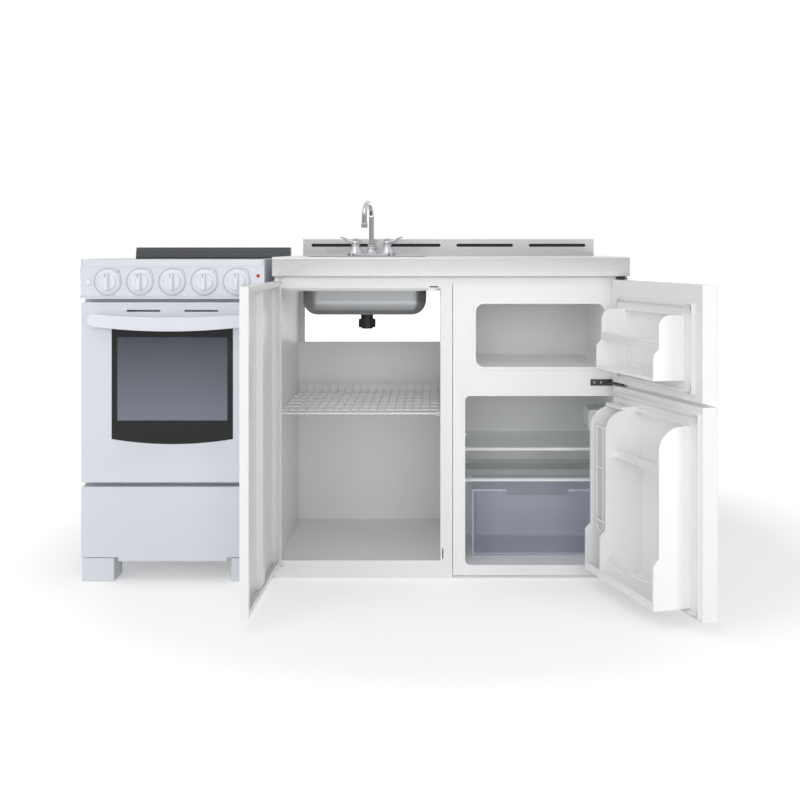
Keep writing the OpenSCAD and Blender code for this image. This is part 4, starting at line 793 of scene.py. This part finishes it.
# %% Cupboard shelf
low, high = (Vector(corner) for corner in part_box("wire_shelf"))
WIRE, CROSS, PITCH, TURN = 1.6, 2.6, 0.025, 0.005
back = high.y - (CROSS - WIRE) * MM - WIRE * MM
top_wire, under_wire, lip_wire = low.z + 0.0063, low.z + 0.0026, high.z - 0.0026
count = int((high.x - low.x - 0.004) / PITCH)
start = (low.x + high.x - count * PITCH) / 2
lines = []
for i in range(count + 1):
    x = start + i * PITCH
    bend = [
        (x, back - TURN + TURN * math.sin(a), top_wire + TURN - TURN * math.cos(a))
        for a in (0, 0.5, 1.05, 1.57)
    ]
    lines.append(([(x, low.y, top_wire)] + bend + [(x, back, lip_wire)], WIRE))
for i in range(8):
    y = low.y + 0.006 + i * (high.y - low.y - 0.012) / 7
    lines.append(([(low.x, y, under_wire), (high.x, y, under_wire)], CROSS))
lines.append(([(low.x, back, lip_wire), (high.x, back, lip_wire)], CROSS))
wires("shelf_wires", lines, CROSS, "unit", "wire_white", ["wire_shelf"])
print("shelf wires:", len(lines))

# %% [markdown]
# The oven racks lie on three levels. They have no lip, only thin rods on thicker ones.

# %% Oven racks
low, high = (Vector(corner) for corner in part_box("oven_racks"))
RACK_LEVELS = (0.446, 0.540, 0.634)
lines = []
for z in RACK_LEVELS:
    for i in range(15):
        x = low.x + 0.006 + i * (high.x - low.x - 0.012) / 14
        lines.append(([(x, low.y, z - 0.0018), (x, high.y, z - 0.0018)], 1.8))
    for y in (low.y + 0.004, (low.y + high.y) / 2, high.y - 0.004):
        lines.append(([(low.x, y, z - 0.0049), (high.x, y, z - 0.0049)], 2.8))
wires("rack_wires", lines, 2.8, "unit", "chrome", ["oven_racks"])
print("rack wires:", len(lines))

# %% [markdown]
# ## Seals and rims
# A fridge door shuts on a soft magnet seal, made here as a flat foot with a rounded strip on it.
# The freezer's opening has a shallow rim. All are flat rings with round corners. A one-face grid
# gets its corners rounded, an inset makes the ring, and an extrusion gives it depth.


# %% Ring tool
def ring_plate(shape, low, high, corner, width, thick, rounding, y, place=None):
    """Ring in an upright plane at y, in millimetres; thick may point either way along Y."""
    face_verts = bmesh.ops.create_grid(shape, x_segments=1, y_segments=1, size=1.0)["verts"]
    for vert in face_verts:
        side = (low[0] if vert.co.x < 0 else high[0], low[1] if vert.co.y < 0 else high[1])
        vert.co = Vector((side[0], y, side[1])) * MM
    old = set(shape.verts) - set(face_verts)
    bmesh.ops.bevel(
        shape, geom=face_verts, offset=corner * MM, segments=6, profile=0.5, affect="VERTICES",
        material=-1,
    )
    sheet = [face for face in shape.faces if not old.intersection(face.verts)]
    # The sheet is a lone face, so without use_boundary the inset makes no ring at all
    ring = bmesh.ops.inset_region(
        shape, faces=sheet, thickness=width * MM, use_even_offset=True, use_boundary=True
    )["faces"]
    bmesh.ops.delete(shape, geom=sheet, context="FACES_ONLY")
    grown = bmesh.ops.extrude_face_region(shape, geom=ring)["geom"]
    moved = [item for item in grown if isinstance(item, bmesh.types.BMVert)]
    bmesh.ops.translate(shape, vec=(0, thick * MM, 0), verts=moved)
    lifted = set(moved)
    new_edges = [item for item in grown if isinstance(item, bmesh.types.BMEdge)]
    rims = [
        edge for edge in new_edges
        if sum(lifted.issuperset(face.verts) for face in edge.link_faces) == 1
    ]
    if rounding:
        bmesh.ops.bevel(
            shape, geom=rims, offset=rounding * MM, segments=3, profile=0.5, affect="EDGES",
            material=-1,
        )
    if place:
        bmesh.ops.transform(shape, matrix=place, verts=[v for v in shape.verts if v not in old])


def swing(joint, degrees):
    """Matrix that turns what is drawn shut to where the door stands."""
    hinge = next(j for j in frame["record"]["behaviour"]["joints"] if j["name"] == joint)
    pin = Matrix.Translation(hinge["pos_m"])
    return pin @ Matrix.Rotation(math.radians(degrees), 4, "Z") @ pin.inverted()


FRIDGE_SWING = swing("fridge_door_hinge", 107)
print("ring tool ready")

# %% [markdown]
# Each seal is two rings, one on the other. They are drawn on the shut door and then turned with
# it to where it stands open. The rim stays with the case.

# %% Door seals and freezer rim
LINER_Y, STRIP_IN = -294, 2.5
SEALS = {"freezer": ((42, 565), (454, 791)), "fridge": ((12, 32), (477, 528))}
for name, (lo, hi) in SEALS.items():
    seal = bmesh.new()
    strip_lo, strip_hi = [v + STRIP_IN for v in lo], [v - STRIP_IN for v in hi]
    ring_plate(seal, lo, hi, 10, 15, 3.2, 1.2, LINER_Y, FRIDGE_SWING)
    ring_plate(seal, strip_lo, strip_hi, 8, 9.5, 7.5, 2.6, LINER_Y, FRIDGE_SWING)
    to_piece(name + "_seal", seal, name + "_door", "gasket_white", [name + "_gasket"], sharp=40)
rim = bmesh.new()
ring_plate(rim, (62, 581), (438, 773), 30, 8, -2.6, 1.6, -286)
to_piece("freezer_rim", rim, "unit", "liner_white", sharp=40)
seal_faces = [len(bpy.data.objects[name + "_seal"].data.polygons) for name in SEALS]
print("seals:", len(SEALS), "with faces", seal_faces)

# %% [markdown]
# ## Small fittings
# Screws hold what is bolted on: the hinge plate, the back panels and the cover of the range's
# terminals. A dimple in the pan head stands for the cross recess, which is all one sees of it.


# %% Screws
def screws(name, places, axis, radius, body, slot):
    """Pan heads at points in metres, each turned from one profile."""
    shape = bmesh.new()
    profile = [(0, 0.18), (0.24, 0.2), (0.34, 0.5), (0.66, 0.46), (0.92, 0.26), (1, 0)]
    for at in places:
        lathe(shape, [(r * radius, h * radius) for r, h in profile], at, axis, steps=16)
    return to_piece(name, shape, body, slot, sharp=50)


BACK = (0, 1, 0)
hinge_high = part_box("fridge_hinges")[1]
plate_y = hinge_high[1] - 0.003
hinge_places = [(0.4, plate_y, 0.546), (0.419, plate_y, 0.546)]
screws("hinge_screws", hinge_places, OUT, 3.6, "unit", "galvanised")
panel_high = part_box("back_panel")[1]
panel_y = panel_high[1] - 0.0003
panel_places = [(x, panel_y, z) for x in (-0.482, -0.26, -0.04) for z in (0.07, 0.32, 0.56)]
screws("panel_screws", panel_places, BACK, 3.6, "unit", "galvanised")
range_low, range_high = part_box("range_body")
range_sides = (range_low[0] + 0.02, range_high[0] - 0.02)
range_places = [(x, range_high[1], z) for x in range_sides for z in (0.1, 0.35, 0.6, 0.84)]
screws("range_screws", range_places, BACK, 3.6, "unit", "galvanised")
print("screws:", len(hinge_places) + len(panel_places) + len(range_places))

# %% [markdown]
# The back of the range breathes through pressed louvres, and a small pressed cover closes the box
# where the supply is wired.

# %% Back of the range
back_y, middle = range_high[1], (range_low[0] + range_high[0]) / 2
louvres = bmesh.new()
ROWS = 7
for side in (-1, 1):
    for i in range(ROWS):
        at = (middle + side * 0.11, back_y + 0.0012, 0.66 + i * 0.022)
        rounded_bar(louvres, at, (150, 3.4, 9), 1.6)
to_piece("range_louvres", louvres, "unit", "galvanised")
cover = bmesh.new()
cover_x = middle + 0.12
rounded_bar(cover, (cover_x, back_y + 0.0035, 0.17), (120, 8, 90), 3)
rounded_bar(cover, (cover_x, back_y + 0.0012, 0.17), (136, 3, 106), 1)
to_piece("terminal_cover", cover, "unit", "galvanised")
cover_places = [(cover_x, back_y + 0.0027, z) for z in (0.121, 0.219)]
screws("cover_screws", cover_places, BACK, 2.6, "unit", "galvanised")
print("louvres:", 2 * ROWS)

# %% [markdown]
# The compressor's shell is two pressed cups, welded at a flange. A pipe leaves it for the
# condenser, and a stub for charging ends beside it.

# %% Compressor
POT_X, POT_Y = 0.3725, 0.189
pot = Vector((POT_X, POT_Y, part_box("compressor")[0][2]))
seam = bmesh.new()
lathe(seam, [(61.4, 78), (64, 78.6), (64.8, 80), (64.8, 82), (64, 83.4), (61.4, 84)], pot)
lathe(seam, [(0, 134), (5, 134.2), (6, 132.6), (6.4, 131)], pot, steps=20)
to_piece("compressor_seam", seam, "unit", "black_plastic")
rise = Vector((0.036, 0.03, 0.09))
stub = Vector((-0.05, 0.03, 0.07))
RISER = [(0, 0, 0), (0.012, 0.01, 0.012), (0.022, 0.03, 0.03), (0.026, 0.062, 0.06),
         (0.028, 0.086, 0.1), (0.03, 0.096, 0.15)]
CHARGING = [(0, 0, 0), (-0.012, 0.006, 0.002), (-0.02, 0.01, 0.012), (-0.022, 0.012, 0.06)]
pipes = [
    ([pot + rise + Vector(step) for step in RISER], 2.4),
    ([pot + stub + Vector(step) for step in CHARGING], 3),
]
wires("compressor_pipes", pipes, 3, "unit", "dark_metal")
print("pipes:", len(pipes))

# %% [markdown]
# The union nut of the drain is tightened by hand, so it has ribs to grip. A rope round the oven's
# mouth seals it and shows when the door is down. The cupboard's catch is a small plate.

# %% Nut ribs, oven rope and door catch
drain_low, drain_high = (Vector(corner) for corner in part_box("drain_tail"))
drain_at = (drain_low + drain_high) / 2
ribs = bmesh.new()
RIBS, NUT_Z = 14, 0.696
for i in range(RIBS):
    before = set(ribs.verts)
    rounded_bar(ribs, (0, 0.0249, 0), (2.6, 1.8, 19), 0.6)
    made = [vert for vert in ribs.verts if vert not in before]
    spun = Matrix.Rotation(math.tau * i / RIBS, 4, "Z")
    turn = Matrix.Translation((drain_at.x, drain_at.y, NUT_Z)) @ spun
    bmesh.ops.transform(ribs, matrix=turn, verts=made)
to_piece("nut_ribs", ribs, "unit", "black_plastic")

oven_low, oven_high = (Vector(corner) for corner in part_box("oven_cavity"))
ROPE_IN, BEND = 0.0075, 0.024
half_w = (oven_high.x - oven_low.x) / 2 - ROPE_IN - BEND
half_h = (oven_high.z - oven_low.z) / 2 - ROPE_IN - BEND
centre = Vector(((oven_low.x + oven_high.x) / 2, -0.2842, (oven_low.z + oven_high.z) / 2))
rope = []
for dx, dz, start in ((1, 1, 0), (-1, 1, 90), (-1, -1, 180), (1, -1, 270)):
    corner = centre + Vector((dx * half_w, 0, dz * half_h))
    rope += around(corner, BEND / MM, start, start + 90, 8)
wires("oven_rope", [(rope, 3.0)], 3, "unit", "dark_metal", closed=True)

catch = bmesh.new()
rounded_bar(catch, (-0.047, -0.2863, 0.8127), (24, 1, 3.6), 0.35)
to_piece("door_catch", catch, "unit", "dark_metal")
print("rope points:", len(rope))
